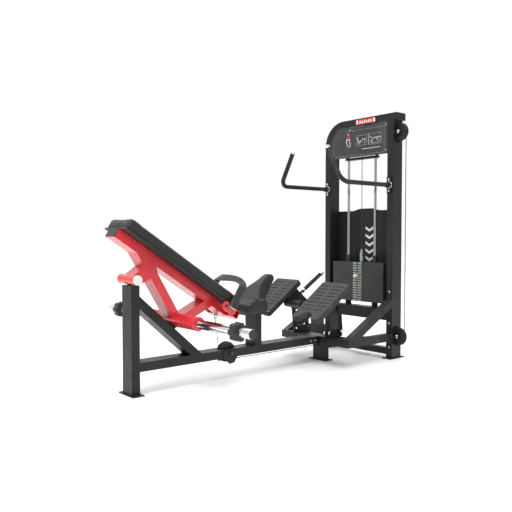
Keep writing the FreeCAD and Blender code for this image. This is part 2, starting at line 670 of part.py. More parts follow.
def round_cable(label, edges):
    """Cable along joined lines and arcs, checked against its section times its length."""
    path = Part.Wire(edges)
    start = edges[0].valueAt(edges[0].FirstParameter)
    way = edges[0].tangentAt(edges[0].FirstParameter)
    ring = Part.Wire(Part.Circle(start, way, S.cable_radius.number).toShape())
    solid = path.makePipeShell([ring], True, True)
    expected = math.pi * S.cable_radius.number ** 2 * path.Length
    print(f"{label}: {path.Length:.0f} mm long, volume ratio {solid.Volume / expected:.4f}")
    item = doc.addObject("Part::Feature", label)
    item.Shape = solid
    node(item, label)


def make_cable():
    x, pitch = column.number, S.pulley_pitch.number
    high, low = S.high_pulley.number, S.low_pulley.number
    side = -(S.tower_half + S.side_pulley_out).number
    run_low = low - pitch
    base_x = S.base_pulley.number
    diagonal = pitch * math.sqrt(0.5)
    end_x, end_z = (size.number for size in bench_cable_end())
    to_end = math.atan2(end_z - low, end_x - base_x)
    tangent = to_end + math.acos(pitch / math.hypot(end_x - base_x, end_z - low))
    middle = (tangent + 1.5 * math.pi) / 2

    def on_base_pulley(angle):
        return FreeCAD.Vector(base_x + pitch * math.cos(angle), 0, low + pitch * math.sin(angle))

    def line(first, last):
        return Part.LineSegment(FreeCAD.Vector(*first), FreeCAD.Vector(*last)).toShape()

    def arc(first, over, last):
        return Part.Arc(FreeCAD.Vector(*first), FreeCAD.Vector(*over), FreeCAD.Vector(*last)).toShape()

    leave = on_base_pulley(tangent)
    edges = [
        arc((x, 0, high), (x, diagonal - pitch, high + diagonal), (x, -pitch, high + pitch)),
        line((x, -pitch, high + pitch), (x, side, high + pitch)),
        arc((x, side, high + pitch), (x, side - diagonal, high + diagonal), (x, side - pitch, high)),
        line((x, side - pitch, high), (x, side - pitch, low)),
        arc((x, side - pitch, low), (x, side - diagonal, low - diagonal), (x, side, run_low)),
        line((x, side, run_low), (x, -pitch, run_low)),
        arc((x, -pitch, run_low), (x - pitch + diagonal, diagonal - pitch, run_low), (x - pitch, 0, run_low)),
        line((x - pitch, 0, run_low), (base_x, 0, run_low)),
        arc((base_x, 0, run_low), tuple(on_base_pulley(middle)), tuple(leave)),
    ]
    round_cable("cable_through_frame", edges)
    round_cable("cable_to_bench", [line(tuple(leave), (end_x, 0, end_z))])
    round_cable("cable_to_stack", [line((x, 0, (S.stem_top + 28).number), (x, 0, high))])


# ---------------------------------------------------------------- bench
def make_bench():
    below_pad = S.pad_thick + S.board_thick
    half_pad = S.pad_wide / 2
    cushion = padded_body("cushion", "XZ_Plane", S.pad_wide, [
        (0, -S.pad_thick), (S.pad_long, -S.pad_thick), (S.pad_long, 0), (0, 0)])
    round_corners(cushion, 22, lambda spot, edge: runs(edge, 0, 0, 1))
    round_corners(cushion, 12, lambda spot, edge: spot.z > -1)
    node(tilt_to_bench(cushion, 0, 0), "back_pad")
    inset = 6
    board = box(inset, inset - half_pad, -S.board_thick, S.pad_long - 2 * inset, S.pad_wide - 2 * inset,
                S.board_thick)
    node(tilt_to_bench(group(board), 0, -S.pad_thick), "back_pad_board")

    rail = tube(S.rail_start, -half_wide, -S.tube_thin, S.rail_long, S.tube_wide, S.tube_thin, "x")
    bar_start = S.rail_start + S.rail_long
    bar = tube(bar_start, -S.bracket_in, -S.tube_thin, S.belt_bar_long, 2 * S.bracket_in, S.tube_thin, "y")
    node(tilt_to_bench(group(rail, bar), 0, -below_pad), "bench_rail")
    rail_cap = box(0, 0, 0, 5, S.tube_wide, S.tube_thin)
    x, z = on_bench(S.rail_start - 5, -below_pad - S.tube_thin)
    place(rail_cap, x, -half_wide, z, (0, 1, 0), S.bench_angle)
    horn_plugs = cylinder(S.horn_out, -S.horn_end - 5, S.horn_high, S.horn_radius - 0.5, 5, "y")
    node(group(rail_cap, horn_plugs, mirror(horn_plugs)), "bench_end_caps")

    rail_block = box(0, -S.tube_wide, -S.tube_thin, S.rail_start + S.rail_long, 2 * S.tube_wide,
                     2 * S.tube_wide)
    rail_space = tilt_to_bench(group(rail_block), 0, -below_pad)
    horn_block = box(-S.horn_box / 2, -S.tube_wide, -S.horn_box / 2, S.horn_box, 2 * S.tube_wide, S.horn_box)
    horn_space = place(group(horn_block), S.horn_out, 0, S.horn_high, (0, 1, 0), S.brace_angle)
    strut_a = tube(0, -half_wide, -half_thin, S.strut_a_long, S.tube_wide, S.tube_thin, "x")
    place(strut_a, S.strut_a_foot, 0, S.horn_high, (0, -1, 0), 180 - S.strut_a_angle.number)
    strut_b = tube(0, -half_wide, -half_thin, S.strut_b_long, S.tube_wide, S.tube_thin, "x")
    place(strut_b, S.horn_out, 0, S.strut_b_high, (0, -1, 0), S.strut_b_angle)
    solid_a = box(0, -half_wide, -half_thin, S.strut_a_long, S.tube_wide, S.tube_thin)
    outer_a = place(group(solid_a), S.strut_a_foot, 0, S.horn_high, (0, -1, 0), 180 - S.strut_a_angle.number)
    upper = cut(strut_a, rail_space, horn_space)
    lower = cut(strut_b, rail_space, horn_space, outer_a)
    node(group(upper, lower), "bench_struts")
    make_pivot(outer_a, rail_space)
    make_horns()
    make_belt()


def make_pivot(strut_space, rail_space):
    half = S.pivot_half
    barrel = cylinder(S.pivot_out, -half, S.pivot_high, S.pivot_tube_radius, 2 * half, "y")
    bore = cylinder(S.pivot_out, -half - 1, S.pivot_high, S.pivot_bore, 2 * half + 2, "y")
    slot = doc.addObject("Part::Cylinder", "slot")
    slot_half, slot_from, slot_sweep = 12, 214, 84
    bind(slot, Radius=S.pivot_tube_radius + 5, Height=2 * slot_half, Angle=slot_sweep)
    slot.Placement = FreeCAD.Placement(
        FreeCAD.Vector(), FreeCAD.Rotation(FreeCAD.Vector(0, -1, 0), slot_from)
        * FreeCAD.Rotation(FreeCAD.Vector(1, 0, 0), 90))
    for axis, size in (("x", S.pivot_out), ("y", as_size(slot_half)), ("z", S.pivot_high)):
        slot.setExpression("Placement.Base." + axis, size.text)
    node(cut(barrel, bore, slot), "pivot_tube")

    gusset = padded_body("pivot_gusset", "XZ_Plane", S.tube_wide, [
        (S.pivot_out, S.pivot_high), (S.pivot_out, S.pivot_high + S.pivot_tube_radius), (63, 695), (120, 735),
        (140, 640), (103, 625), (36, S.post_top + 9)])
    around = cylinder(S.pivot_out, -S.tube_wide, S.pivot_high, S.pivot_tube_radius, 2 * S.tube_wide, "y")
    node(cut(gusset, around, strut_space, rail_space), "pivot_arm")

    node(cylinder(S.pivot_out, -half, S.pivot_high, S.pivot_axle, 2 * half, "y"), "pivot_axle")

    bush = cut(cylinder(S.pivot_out, -half, S.pivot_high, S.pivot_bore, 40, "y"),
               cylinder(S.pivot_out, -half - 1, S.pivot_high, S.pivot_axle + S.run_clear, 42, "y"))
    cap = cylinder(S.pivot_out, -half - 5, S.pivot_high, S.pivot_tube_radius + 1.5, 4.5, "y")
    node(pair(group(bush, cap)), "pivot_bushes")


def make_horns():
    """Square cross tube under the bench, its flanges, the chrome horns and their star collars."""
    half_box = S.horn_box / 2
    tube_shape = tube(-half_box, -S.horn_box_half, -half_box, S.horn_box, 2 * S.horn_box_half, S.horn_box,
                      "y")
    place(tube_shape, S.horn_out, 0, S.horn_high, (0, 1, 0), S.brace_angle)
    start = S.horn_box_half
    flange = cylinder(S.horn_out, -start - S.flange_thick, S.horn_high, S.flange_radius, S.flange_thick, "y")
    node(group(tube_shape, flange, mirror(flange)), "horn_cross_tube")
    root = start + S.flange_thick
    horn = cylinder(S.horn_out, -S.horn_end, S.horn_high, S.horn_radius, S.horn_end - root, "y")
    hollow = cylinder(S.horn_out, -S.horn_end, S.horn_high, S.horn_radius - 4, S.horn_end - root, "y")
    groove = cut(cylinder(S.horn_out, -S.stop_groove, S.horn_high, S.horn_radius + 5, 2, "y"),
                 cylinder(S.horn_out, -S.stop_groove - 1, S.horn_high, S.horn_radius - 0.5, 4, "y"))
    node(pair(cut(horn, hollow, groove)), "weight_horns")

    disc = cylinder(S.horn_out, -S.collar_at - S.collar_half, S.horn_high, S.collar_radius,
                    2 * S.collar_half, "y")
    bore = cylinder(S.horn_out, -S.collar_at - S.tube_thin, S.horn_high, S.horn_radius + S.run_clear,
                    S.tube_wide, "y")
    lobes = 7
    scallops = []
    for count in range(lobes):
        turn = math.radians(360 * count / lobes)
        scallops.append(cylinder(S.horn_out + (S.collar_radius + 5) * math.cos(turn),
                                 -S.collar_at - S.tube_thin,
                                 S.horn_high + (S.collar_radius + 5) * math.sin(turn), 12, S.tube_wide, "y"))
    near = cut(disc, bore, *scallops)
    node(near, "near_star_collar")
    node(mirror(near), "far_star_collar")

    bolts = [button_head(*bolt, 8, facing) for bolt, facing in belt_bolts()]
    node(group(*bolts), "bench_bolts")


def belt_bolts():
    """Bolts through the belt brackets' rear lobes."""
    x, z = on_bench(S.bracket_first, -S.bracket_drop)
    out = S.bracket_in + S.bracket_plate
    return [((x, -out, z), "-y"), ((x, out, z), "+y")]


def belt_solid():
    """Belt arch lofted through flat sections: straight legs, then a crown that leans back."""
    lean = math.radians(S.bench_angle.number)
    crown_lean = math.radians(S.belt_lean.number)
    foot_x, foot_z = (size.number for size in on_bench(S.belt_foot, -S.belt_drop))
    reach = S.belt_reach.number - S.belt_thick.number / 2
    leg, rise = S.belt_leg.number, S.belt_rise.number
    start = 0
    steps = 16
    path = [(-reach, start + (leg - start) * part, 0, 0, -math.pi / 2) for part in (0, 0.4, 0.8)]
    for step in range(steps + 1):
        turn = math.pi * step / steps
        path.append((-reach * math.cos(turn), leg, rise * math.sin(turn), math.sin(turn), turn - math.pi / 2))
    path += [(-y, high, 0, 0, math.pi / 2) for y, high, *rest in reversed(path[:3])]
    sections = []
    for y, high, over, share, roll in path:
        swing = lean + (crown_lean - lean) * share ** 2
        x = foot_x + high * math.sin(lean) + over * math.sin(swing)
        z = foot_z + high * math.cos(lean) + over * math.cos(swing)
        twist = lean + math.radians(S.belt_twist.number) * share
        across = FreeCAD.Vector(math.cos(twist), 0, -math.sin(twist))
        up = FreeCAD.Vector(math.sin(twist), 0, math.cos(twist))
        outward = up * math.cos(roll) + FreeCAD.Vector(0, 1, 0) * math.sin(roll)
        centre = FreeCAD.Vector(x, y, z)
        half_a = across * (S.belt_wide.number / 2)
        half_b = outward * (S.belt_thick.number / 2)
        corners = [centre - half_a - half_b, centre + half_a - half_b, centre + half_a + half_b,
                   centre - half_a + half_b]
        sections.append(corners)
    return flat_sided(sections)


def flat_sided(sections):
    """Closed solid through four-cornered sections, each stretch of side made of two flat triangles."""
    triangles = []
    for first, second in zip(sections, sections[1:]):
        for spot in range(4):
            following = (spot + 1) % 4
            triangles.append((first[spot], first[following], second[following]))
            triangles.append((first[spot], second[following], second[spot]))
    for end in (sections[0], sections[-1]):
        triangles += [(end[0], end[1], end[2]), (end[0], end[2], end[3])]
    faces = [Part.Face(Part.makePolygon([*corners, corners[0]])) for corners in triangles]
    solid = Part.Solid(Part.Shell(faces))
    return solid if solid.Volume > 0 else solid.reversed()


def make_belt():
    below_pad = S.pad_thick + S.board_thick
    radius = S.bracket_radius
    span = S.bracket_last - S.bracket_first
    strip = box(0, 0, -radius, span, S.bracket_plate, 2 * radius)
    ends = [cylinder(spot, 0, 0, radius, S.bracket_plate, "y") for spot in (0, span)]
    x, z = on_bench(S.bracket_first, -S.bracket_drop)
    plate = place(fuse(strip, *ends), x, -S.bracket_in - S.bracket_plate, z, (0, 1, 0), S.bench_angle)
    node(pair(plate), "belt_brackets")

    belt = doc.addObject("Part::Feature", "belt")
    belt.Shape = belt_solid()
    node(belt, "hip_belt")
    rest = box(-S.belt_wide / 2, -S.belt_reach, -7.5, S.belt_wide,
               S.belt_reach - S.bracket_in - S.bracket_plate, 7)
    rest_x, rest_z = on_bench(S.belt_foot, -S.belt_drop)
    node(pair(place(group(rest), rest_x, 0, rest_z, (0, 1, 0), S.bench_angle)), "belt_buckles")

    eye_x, eye_z = on_bench(S.lug_out, -below_pad - S.tube_thin)
    tab = box(-14, -4, -24, 28, 8, 44)
    tab_hole = cylinder(0, -5, -13, 6, 10, "y")
    rail_block = box(-S.tube_wide, -9, 0, 2 * S.tube_wide, 18, S.tube_thin)
    rail_cutter = place(group(rail_block), 0, 0, 0, (0, 1, 0), S.bench_angle)
    lug = place(cut(tab, rail_cutter, tab_hole), eye_x, 0, eye_z)
    link = doc.addObject("Part::Torus", "link")
    bind(link, Radius1=13, Radius2=3.5)
    place(link, eye_x, 0, eye_z - 26, (0, 1, 0), 90)
    thimble = doc.addObject("Part::Torus", "thimble")
    bind(thimble, Radius1=7.5, Radius2=2.5)
    place(thimble, eye_x, 0, eye_z - 42, (1, 0, 0), 90)
    ferrule = cylinder(eye_x, 0, eye_z - 59.2, 4.5, 9.2)
    node(group(lug, link, fuse(thimble, ferrule)), "cable_lug")


# ---------------------------------------------------------------- seat
def make_seat():
    low = S.seat_post_top + S.foot_thick + S.seat_board
    wings = padded_body("seat_wings", "XZ_Plane", S.pad_wide, [
        (705, low), (862, low), (878, low + 40), (856, low + 90), (790, low + 72), (712, low + 56)])
    round_corners(wings, 14, lambda spot, edge: runs(edge, 0, 1, 0))
    nose = padded_body("seat_nose", "XZ_Plane", S.pad_wide, [
        (745, low), (934, low + 14), (945, 470), (965, 506), (992, 548), (1014, 580), (998, 610), (966, 611),
        (929, 590), (874, 550), (806, 490), (770, 460), (745, 450)])
    round_corners(nose, 12, lambda spot, edge: runs(edge, 0, 1, 0) and spot.z > 570 and spot.x > 980)
    flank = padded_body("seat_flank", "XY_Plane", 400, [
        (792, -130), (806, -111), (830, -90), (851, -70), (874, -52), (899, -38), (929, -30), (1030, -28),
        (1030, -130)])
    place(flank, 0, 0, 500)
    nose = cut(nose, flank, mirror(flank))
    node(fuse(wings, nose), "seat_pad")


# ---------------------------------------------------------------- foot platform
def swing_arm(x, y):
    """Flat bar between a lower and an upper pivot, outside the platform's side plates."""
    reach = 17
    length = math.hypot(S.swing_back.number, S.swing_high.number)
    lean = math.degrees(math.atan2(S.swing_back.number, S.swing_high.number))
    strip = box(-reach, 0, 0, 2 * reach, S.side_plate, length)
    ends = [cylinder(0, 0, high, reach, S.side_plate, "y") for high in (0, length)]
    bores = [cylinder(0, -1, high, 8 + S.run_clear, S.side_plate + 2, "y") for high in (0, length)]
    return place(cut(fuse(strip, *ends), *bores), x, y, S.swing_low, (0, -1, 0), lean)


def swing_pin(x, z):
    """Headed pin that carries the near swing arms on a plate of the platform or of the base."""
    start = -S.side_plate_in - 2 * S.side_plate - 4
    pin = cylinder(x, start, z, 8, 2 * S.side_plate + 4, "y")
    return fuse(pin, button_head(x, start, z, 12, "-y"))


def make_platform():
    arm_y = -S.side_plate_in - 2 * S.side_plate - 2
    rear_x = S.swing_rear
    front_x = S.swing_rear + S.swing_gap
    node(pair(swing_arm(rear_x, arm_y)), "platform_rear_arms")
    upper_z = S.swing_low + S.swing_high
    front_pin = swing_pin(front_x - S.swing_back, upper_z)
    node(pair(group(swing_arm(front_x, arm_y), front_pin)), "platform_front_links")
    node(pair(swing_pin(rear_x - S.swing_back, upper_z)), "platform_pivot_pins")

    plate_middle = -S.side_plate_in - S.side_plate / 2
    bracket = padded_body("swing_bracket", "XZ_Plane", S.side_plate, [
        (rear_x - 24, base_top), (front_x + 24, base_top), (front_x + 24, S.swing_low + 17),
        (rear_x - 24, S.swing_low + 17)],
        [(rear_x, S.swing_low, 8), (front_x, S.swing_low, 8)])
    place(bracket, 0, plate_middle, 0)
    node(pair(bracket), "platform_brackets")

    slope = sine(S.tread_angle) / cosine(S.tread_angle)

    def under(x):
        return S.tread_low + (as_size(x) - S.tread_out) * slope - S.tread_thick / cosine(S.tread_angle)

    rear_edge = 1258
    outline = [(rear_edge, upper_z + 10), (rear_edge, under(rear_edge)), (1362, under(1362)), (1392, 468),
               (front_x - S.swing_back + 20, upper_z + 24), (front_x - S.swing_back + 20, upper_z - 20),
               (1372, upper_z - 27), (1335, upper_z - 20), (1300, upper_z + 8)]
    cheek = padded_body("platform_cheek", "XZ_Plane", S.side_plate, outline, [
        (rear_x - S.swing_back, upper_z, 8), (front_x - S.swing_back, upper_z, 9)])
    place(cheek, 0, plate_middle, 0)
    cross = cylinder(S.cross_tube_out, -S.side_plate_in, S.cross_tube_high, 25, 2 * S.side_plate_in, "y")
    hollow = cylinder(S.cross_tube_out, -S.side_plate_in - 1, S.cross_tube_high, 22,
                      2 * S.side_plate_in + 2, "y")
    node(group(cut(cross, hollow), cheek, mirror(cheek)), "platform_frame")
    node(pair(make_tread()), "foot_treads")
    make_lever()


def make_tread():
    """Foot plate with rounded corners, a heel notch and two columns of dashed grip grooves."""
    body = padded_body("tread_plate", "XY_Plane", S.tread_thick, [
        (0, 0), (S.tread_long, 0), (S.tread_long, S.tread_wide), (0, S.tread_wide)])
    round_corners(body, 16, lambda spot, edge: runs(edge, 0, 0, 1))
    top = S.tread_thick.number / 2
    round_corners(body, 4, lambda spot, edge: abs(abs(spot.z) - top) < 0.1)
    notch = cylinder(0, S.tread_wide / 2, -S.tread_thick, S.heel_notch, 2 * S.tread_thick)
    rows, dash, groove = 8, 82, 7
    first, step, depth = 84, 33, 3
    grooves = []
    for row in range(rows):
        for column_start in (20, 130):
            grooves.append(box(first + row * step, column_start, S.tread_thick / 2 - depth, groove, dash,
                               depth + 1))
    item = cut(body, notch, group(*grooves))
    x = S.tread_out + S.tread_thick / 2 * sine(S.tread_angle)
    z = S.tread_low - S.tread_thick / 2 * cosine(S.tread_angle)
    return place(item, x, -S.tread_in - S.tread_wide, z, (0, -1, 0), S.tread_angle)


def make_lever():
    """Release lever: a hub on the cross tube, a short arm and an inclined grip with chrome ends."""
    hub_half = 14
    hub = cut(cylinder(S.cross_tube_out, -hub_half, S.cross_tube_high, 33, 2 * hub_half, "y"),
              cylinder(S.cross_tube_out, -hub_half - 1, S.cross_tube_high, 25 + S.run_clear,
                       2 * hub_half + 2, "y"))
    knee_x, top_z = S.cross_tube_out - 8, S.cross_tube_high + 83
    rod, core_long = 8, 246
    arm = cylinder(knee_x, 0, S.cross_tube_high + 28, rod, 55)
    knee = doc.addObject("Part::Sphere", "knee")
    bind(knee, Radius=rod)
    place(knee, knee_x, 0, top_z)
    about, lean = (0, 1, 0), 90 - S.lever_rise.number
    core = doc.addObject("Part::Cylinder", "core")
    bind(core, Radius=rod, Height=core_long)
    place(core, knee_x, 0, top_z, about, lean)
    node(fuse(hub, arm, knee, core), "release_lever")

    def ring(start, length, radius):
        way_x, way_z = cosine(S.lever_rise), sine(S.lever_rise)
        outside = doc.addObject("Part::Cylinder", "sleeve")
        bind(outside, Radius=radius, Height=length)
        place(outside, knee_x + start * way_x, 0, top_z + start * way_z, about, lean)
        inside = doc.addObject("Part::Cylinder", "sleeve_bore")
        bind(inside, Radius=rod, Height=core_long)
        place(inside, knee_x, 0, top_z, about, lean)
        return cut(outside, inside)

    node(ring(32, 184, 13), "lever_grip")
    node(group(ring(20, 12, 15), ring(216, 16, 15), ring(232, 14, 11)), "lever_rings")


# ---------------------------------------------------------------- build, check and write
make_foot_plates()
make_base()
make_tower()
make_handles()
make_stack()
make_pulleys()
make_axles()
make_frame_bolts()
make_cable()
make_bench()
make_seat()
make_platform()
doc.recompute()

for item in doc.Objects:
    if "Invalid" in item.State or "Error" in item.State:
        raise RuntimeError(f"{item.Label} ({item.Name}) failed: {item.State}")
for item in NODES:
    shape = item.Shape
    if shape.isNull() or not shape.isValid() or not shape.Solids:
        raise RuntimeError(f"{item.Label} has no valid solid")

os.makedirs("parts", exist_ok=True)
for item in NODES:
    item.Shape.exportStep(f"parts/{item.Label}.step")
print(len(NODES), "nodes")
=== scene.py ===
"""Looks of the hip-thrust machine: materials, upholstery, belt, labels and small fittings.

Lengths are in metres, in the frame of the CAD model: +X towards the tower, +Z up, near side -Y.
"""
import json
import math
import bmesh
import bpy
from mathutils import Matrix, Vector, noise
from mathutils.bvhtree import BVHTree


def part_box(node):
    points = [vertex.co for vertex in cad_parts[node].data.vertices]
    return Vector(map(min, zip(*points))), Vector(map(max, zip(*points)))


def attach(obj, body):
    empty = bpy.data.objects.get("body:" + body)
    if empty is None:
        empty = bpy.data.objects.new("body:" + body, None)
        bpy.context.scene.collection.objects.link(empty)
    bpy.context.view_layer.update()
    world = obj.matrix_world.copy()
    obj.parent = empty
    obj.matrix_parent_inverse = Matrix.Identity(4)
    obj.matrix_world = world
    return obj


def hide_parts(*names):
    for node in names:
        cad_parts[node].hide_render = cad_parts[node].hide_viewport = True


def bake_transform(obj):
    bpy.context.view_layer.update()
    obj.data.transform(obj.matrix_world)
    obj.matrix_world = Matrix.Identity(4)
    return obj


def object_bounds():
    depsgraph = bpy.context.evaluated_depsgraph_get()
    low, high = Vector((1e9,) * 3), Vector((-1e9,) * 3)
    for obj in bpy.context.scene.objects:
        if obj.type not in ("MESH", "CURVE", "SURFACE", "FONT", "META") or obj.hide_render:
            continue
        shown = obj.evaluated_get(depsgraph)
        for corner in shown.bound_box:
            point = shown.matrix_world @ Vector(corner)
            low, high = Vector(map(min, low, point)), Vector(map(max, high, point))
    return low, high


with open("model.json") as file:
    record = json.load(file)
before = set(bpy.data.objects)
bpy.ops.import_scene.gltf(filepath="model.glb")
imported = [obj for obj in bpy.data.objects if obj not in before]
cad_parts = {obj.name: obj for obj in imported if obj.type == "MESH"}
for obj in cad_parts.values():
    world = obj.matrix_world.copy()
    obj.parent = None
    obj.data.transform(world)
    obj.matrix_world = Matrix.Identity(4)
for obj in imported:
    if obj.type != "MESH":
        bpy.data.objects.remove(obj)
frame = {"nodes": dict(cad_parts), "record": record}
CAD_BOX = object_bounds()
NODES = frame["nodes"]
SLOT_OF = {part["node"]: part["material_slot"] for part in frame["record"]["subparts"]}
MM = 0.001


# ---------------------------------------------------------------- material building blocks
def set_range(node, low, high, to_low=0.0, to_high=1.0):
    for name, number in (("From Min", low), ("From Max", high), ("To Min", to_low), ("To Max", to_high)):
        node.inputs[name].default_value = number


class Shader:
    """A material under construction: short calls add nodes and link them."""

    def __init__(self, name):
        self.material = bpy.data.materials.new(name)
        self.material.use_nodes = True
        self.tree = self.material.node_tree
        self.surface = self.tree.nodes["Principled BSDF"]
        self.place = self.add("ShaderNodeTexCoord").outputs["Object"]

    def add(self, kind, **settings):
        made = self.tree.nodes.new(kind)
        for key, setting in settings.items():
            setattr(made, key, setting)
        return made

    def feed(self, socket, source):
        """Links an output to a socket, or sets the socket to a plain value."""
        if isinstance(source, bpy.types.NodeSocket):
            self.tree.links.new(source, socket)
        elif isinstance(source, (tuple, list)) and len(source) == 3 and socket.type == "RGBA":
            socket.default_value = (*source, 1)
        else:
            socket.default_value = source

    def set(self, **inputs):
        for name, source in inputs.items():
            self.feed(self.surface.inputs[name.replace("_", " ")], source)

    def stretched(self, scale=(1, 1, 1), turn=(0, 0, 0)):
        mapping = self.add("ShaderNodeMapping")
        self.feed(mapping.inputs["Vector"], self.place)
        mapping.inputs["Scale"].default_value = scale
        mapping.inputs["Rotation"].default_value = turn
        return mapping.outputs["Vector"]

    def noise(self, scale, detail=2, where=None, rough=0.5):
        made = self.add("ShaderNodeTexNoise")
        self.feed(made.inputs["Vector"], where or self.place)
        made.inputs["Scale"].default_value = scale
        made.inputs["Detail"].default_value = detail
        made.inputs["Roughness"].default_value = rough
        return made.outputs["Fac"]

    def cells(self, scale, feature="F1", where=None):
        made = self.add("ShaderNodeTexVoronoi", feature=feature)
        self.feed(made.inputs["Vector"], where or self.place)
        made.inputs["Scale"].default_value = scale
        return made.outputs["Distance"]

    def math(self, operation, first, second=0.0, clamp=False):
        made = self.add("ShaderNodeMath", operation=operation, use_clamp=clamp)
        self.feed(made.inputs[0], first)
        self.feed(made.inputs[1], second)
        return made.outputs[0]

    def span(self, value, low, high, to_low=0.0, to_high=1.0):
        made = self.add("ShaderNodeMapRange")
        self.feed(made.inputs["Value"], value)
        set_range(made, low, high, to_low, to_high)
        return made.outputs["Result"]

    def blend(self, share, first, second):
        made = self.add("ShaderNodeMix", data_type="RGBA")
        self.feed(made.inputs["Factor"], share)
        colours = [socket for socket in made.inputs if socket.type == "RGBA"]
        self.feed(colours[0], first)
        self.feed(colours[1], second)
        return [socket for socket in made.outputs if socket.type == "RGBA"][0]

    def edges(self, radius, reach=0.35):
        """1 on an edge, 0 on the flats, from the way a rounded edge turns the surface."""
        rounded = self.add("ShaderNodeBevel", samples=4)
        rounded.inputs["Radius"].default_value = radius
        true = self.add("ShaderNodeNewGeometry").outputs["True Normal"]
        dot = self.add("ShaderNodeVectorMath", operation="DOT_PRODUCT")
        self.feed(dot.inputs[0], rounded.outputs["Normal"])
        self.feed(dot.inputs[1], true)
        return self.span(dot.outputs["Value"], 1.0, 1.0 - reach), rounded.outputs["Normal"]

    def bump(self, height, depth, strength=1.0, over=None):
        made = self.add("ShaderNodeBump")
        made.inputs["Strength"].default_value = strength
        made.inputs["Distance"].default_value = depth
        self.feed(made.inputs["Height"], height)
        if over is not None:
            self.feed(made.inputs["Normal"], over)
        return made.outputs["Normal"]

    def axis(self, name):
        split = self.add("ShaderNodeSeparateXYZ")
        self.feed(split.inputs[0], self.place)
        return split.outputs[name]


def painted(name, dark, light, wear_and_highlight, rough=(0.32, 0.5), grain=1300, coat=0.0, depth=0.00006,
            round_edge=0.0016, shine=0.5):
    """Powder coat: fine grain, soft colour drift, duller patches, and edges painted lighter in patches,
    partly rubbed wear and partly a painted edge highlight.
    """
    look = Shader(name)
    drift = look.noise(6, 4)
    speck = look.noise(grain, 2)
    edge, rounded = look.edges(round_edge)
    # edges painted lighter in patches: part rubbed wear, part painted edge highlight
    wear_and_edge_highlight = look.math("MULTIPLY", edge, look.span(look.noise(45, 5), 0.42, 0.7), clamp=True)
    base = look.blend(look.span(drift, 0.3, 0.7), dark, light)
    base = look.blend(look.math("MULTIPLY", look.span(speck, 0.62, 0.75), 0.35), base, wear_and_highlight)
    look.set(Base_Color=look.blend(look.math("MULTIPLY", wear_and_edge_highlight, 0.55), base, wear_and_highlight),
             Roughness=look.span(look.noise(18, 5), 0.3, 0.7, *rough),
             Coat_Weight=coat, Coat_Roughness=0.12, Specular_IOR_Level=shine)
    fine = look.bump(speck, depth, 0.8, over=rounded)
    look.set(Normal=look.bump(look.noise(190, 2), depth * 2.5, 0.5, over=fine))
    return look.material


def chromed():
    look = Shader("polished_chrome")
    haze = look.noise(14, 6)
    wipe = look.noise(60, 3, where=look.stretched((1, 4, 4)))
    edge, rounded = look.edges(0.0008)
    look.set(Metallic=1.0,
             Base_Color=look.blend(look.span(haze, 0.3, 0.75), (0.86, 0.87, 0.88), (0.72, 0.73, 0.75)),
             Roughness=look.math("ADD", look.span(wipe, 0.35, 0.75, 0.04, 0.11),
                                 look.math("MULTIPLY", edge, 0.08)),
             Normal=look.bump(wipe, 0.000002, 0.2, over=rounded))
    return look.material


def turned_steel():
    look = Shader("turned_steel")
    lines = look.noise(900, 2, where=look.stretched((0.06, 1, 1)))
    blotch = look.noise(25, 5)
    rounded = look.edges(0.0006)[1]
    look.set(Metallic=1.0,
             Base_Color=look.blend(look.span(blotch, 0.3, 0.7), (0.6, 0.6, 0.59), (0.4, 0.41, 0.43)),
             Roughness=look.span(lines, 0.3, 0.7, 0.24, 0.42),
             Normal=look.bump(lines, 0.00004, 0.6, over=rounded))
    return look.material


def vinyl(name, dark, light):
    """Upholstery vinyl: pebble grain, fine pores, creases and a faint sheen."""
    look = Shader(name)
    pebbles = look.cells(620, "SMOOTH_F1")
    pores = look.cells(1900)
    creases = look.noise(34, 7, where=look.stretched((1, 0.5, 1)), rough=0.62)
    shade = look.noise(9, 4)
    base = look.blend(look.span(shade, 0.3, 0.7), dark, light)
    base = look.blend(look.span(pebbles, 0.28, 0.05, 0.0, 0.35), base,
                      tuple(channel * 1.9 for channel in light))
    look.set(Base_Color=base, Roughness=look.span(pebbles, 0.05, 0.6, 0.4, 0.62), Sheen_Weight=0.12,
             Specular_IOR_Level=0.3)
    grain = look.bump(look.math("ADD", pebbles, look.math("MULTIPLY", pores, 0.4)), 0.00022, 0.8)
    look.set(Normal=look.bump(creases, 0.0011, 0.35, over=grain))
    return look.material


def rubber(name, dark, light, rough=0.78, ribs=0):
    look = Shader(name)
    dust = look.noise(28, 6)
    grit = look.noise(1100, 3)
    edge, rounded = look.edges(0.0012)
    base = look.blend(look.span(dust, 0.35, 0.75), dark, light)
    # edges painted lighter: a painted edge highlight on the rubber
    look.set(Base_Color=look.blend(look.math("MULTIPLY", edge, 0.3), base,
                                   tuple(channel * 2.2 for channel in light)),
             Roughness=look.span(grit, 0.3, 0.7, rough - 0.14, rough + 0.08), Specular_IOR_Level=0.35)
    fine = look.bump(grit, 0.00012, 0.8, over=rounded)
    look.set(Normal=fine)
    if ribs:
        wave = look.add("ShaderNodeTexWave", wave_type="BANDS", bands_direction="X")
        look.feed(wave.inputs["Vector"], look.stretched((1, 1, 1), (0, math.radians(32), 0)))
        wave.inputs["Scale"].default_value = ribs
        look.set(Normal=look.bump(wave.outputs["Fac"], 0.0012, 0.9, over=fine))
    return look.material


def plastic(name, dark, light, rough=0.45):
    look = Shader(name)
    spark = look.cells(1500)
    cloud = look.noise(30, 4)
    edge, rounded = look.edges(0.001)
    # edges painted lighter: a painted edge highlight on the plastic
    look.set(Base_Color=look.blend(look.math("MULTIPLY", edge, 0.35),
                                   look.blend(look.span(cloud, 0.3, 0.7), dark, light),
                                   tuple(min(1, channel * 2.0) for channel in light)),
             Roughness=look.span(cloud, 0.3, 0.7, rough - 0.06, rough + 0.1),
             Normal=look.bump(spark, 0.00008, 0.5, over=rounded))
    return look.material


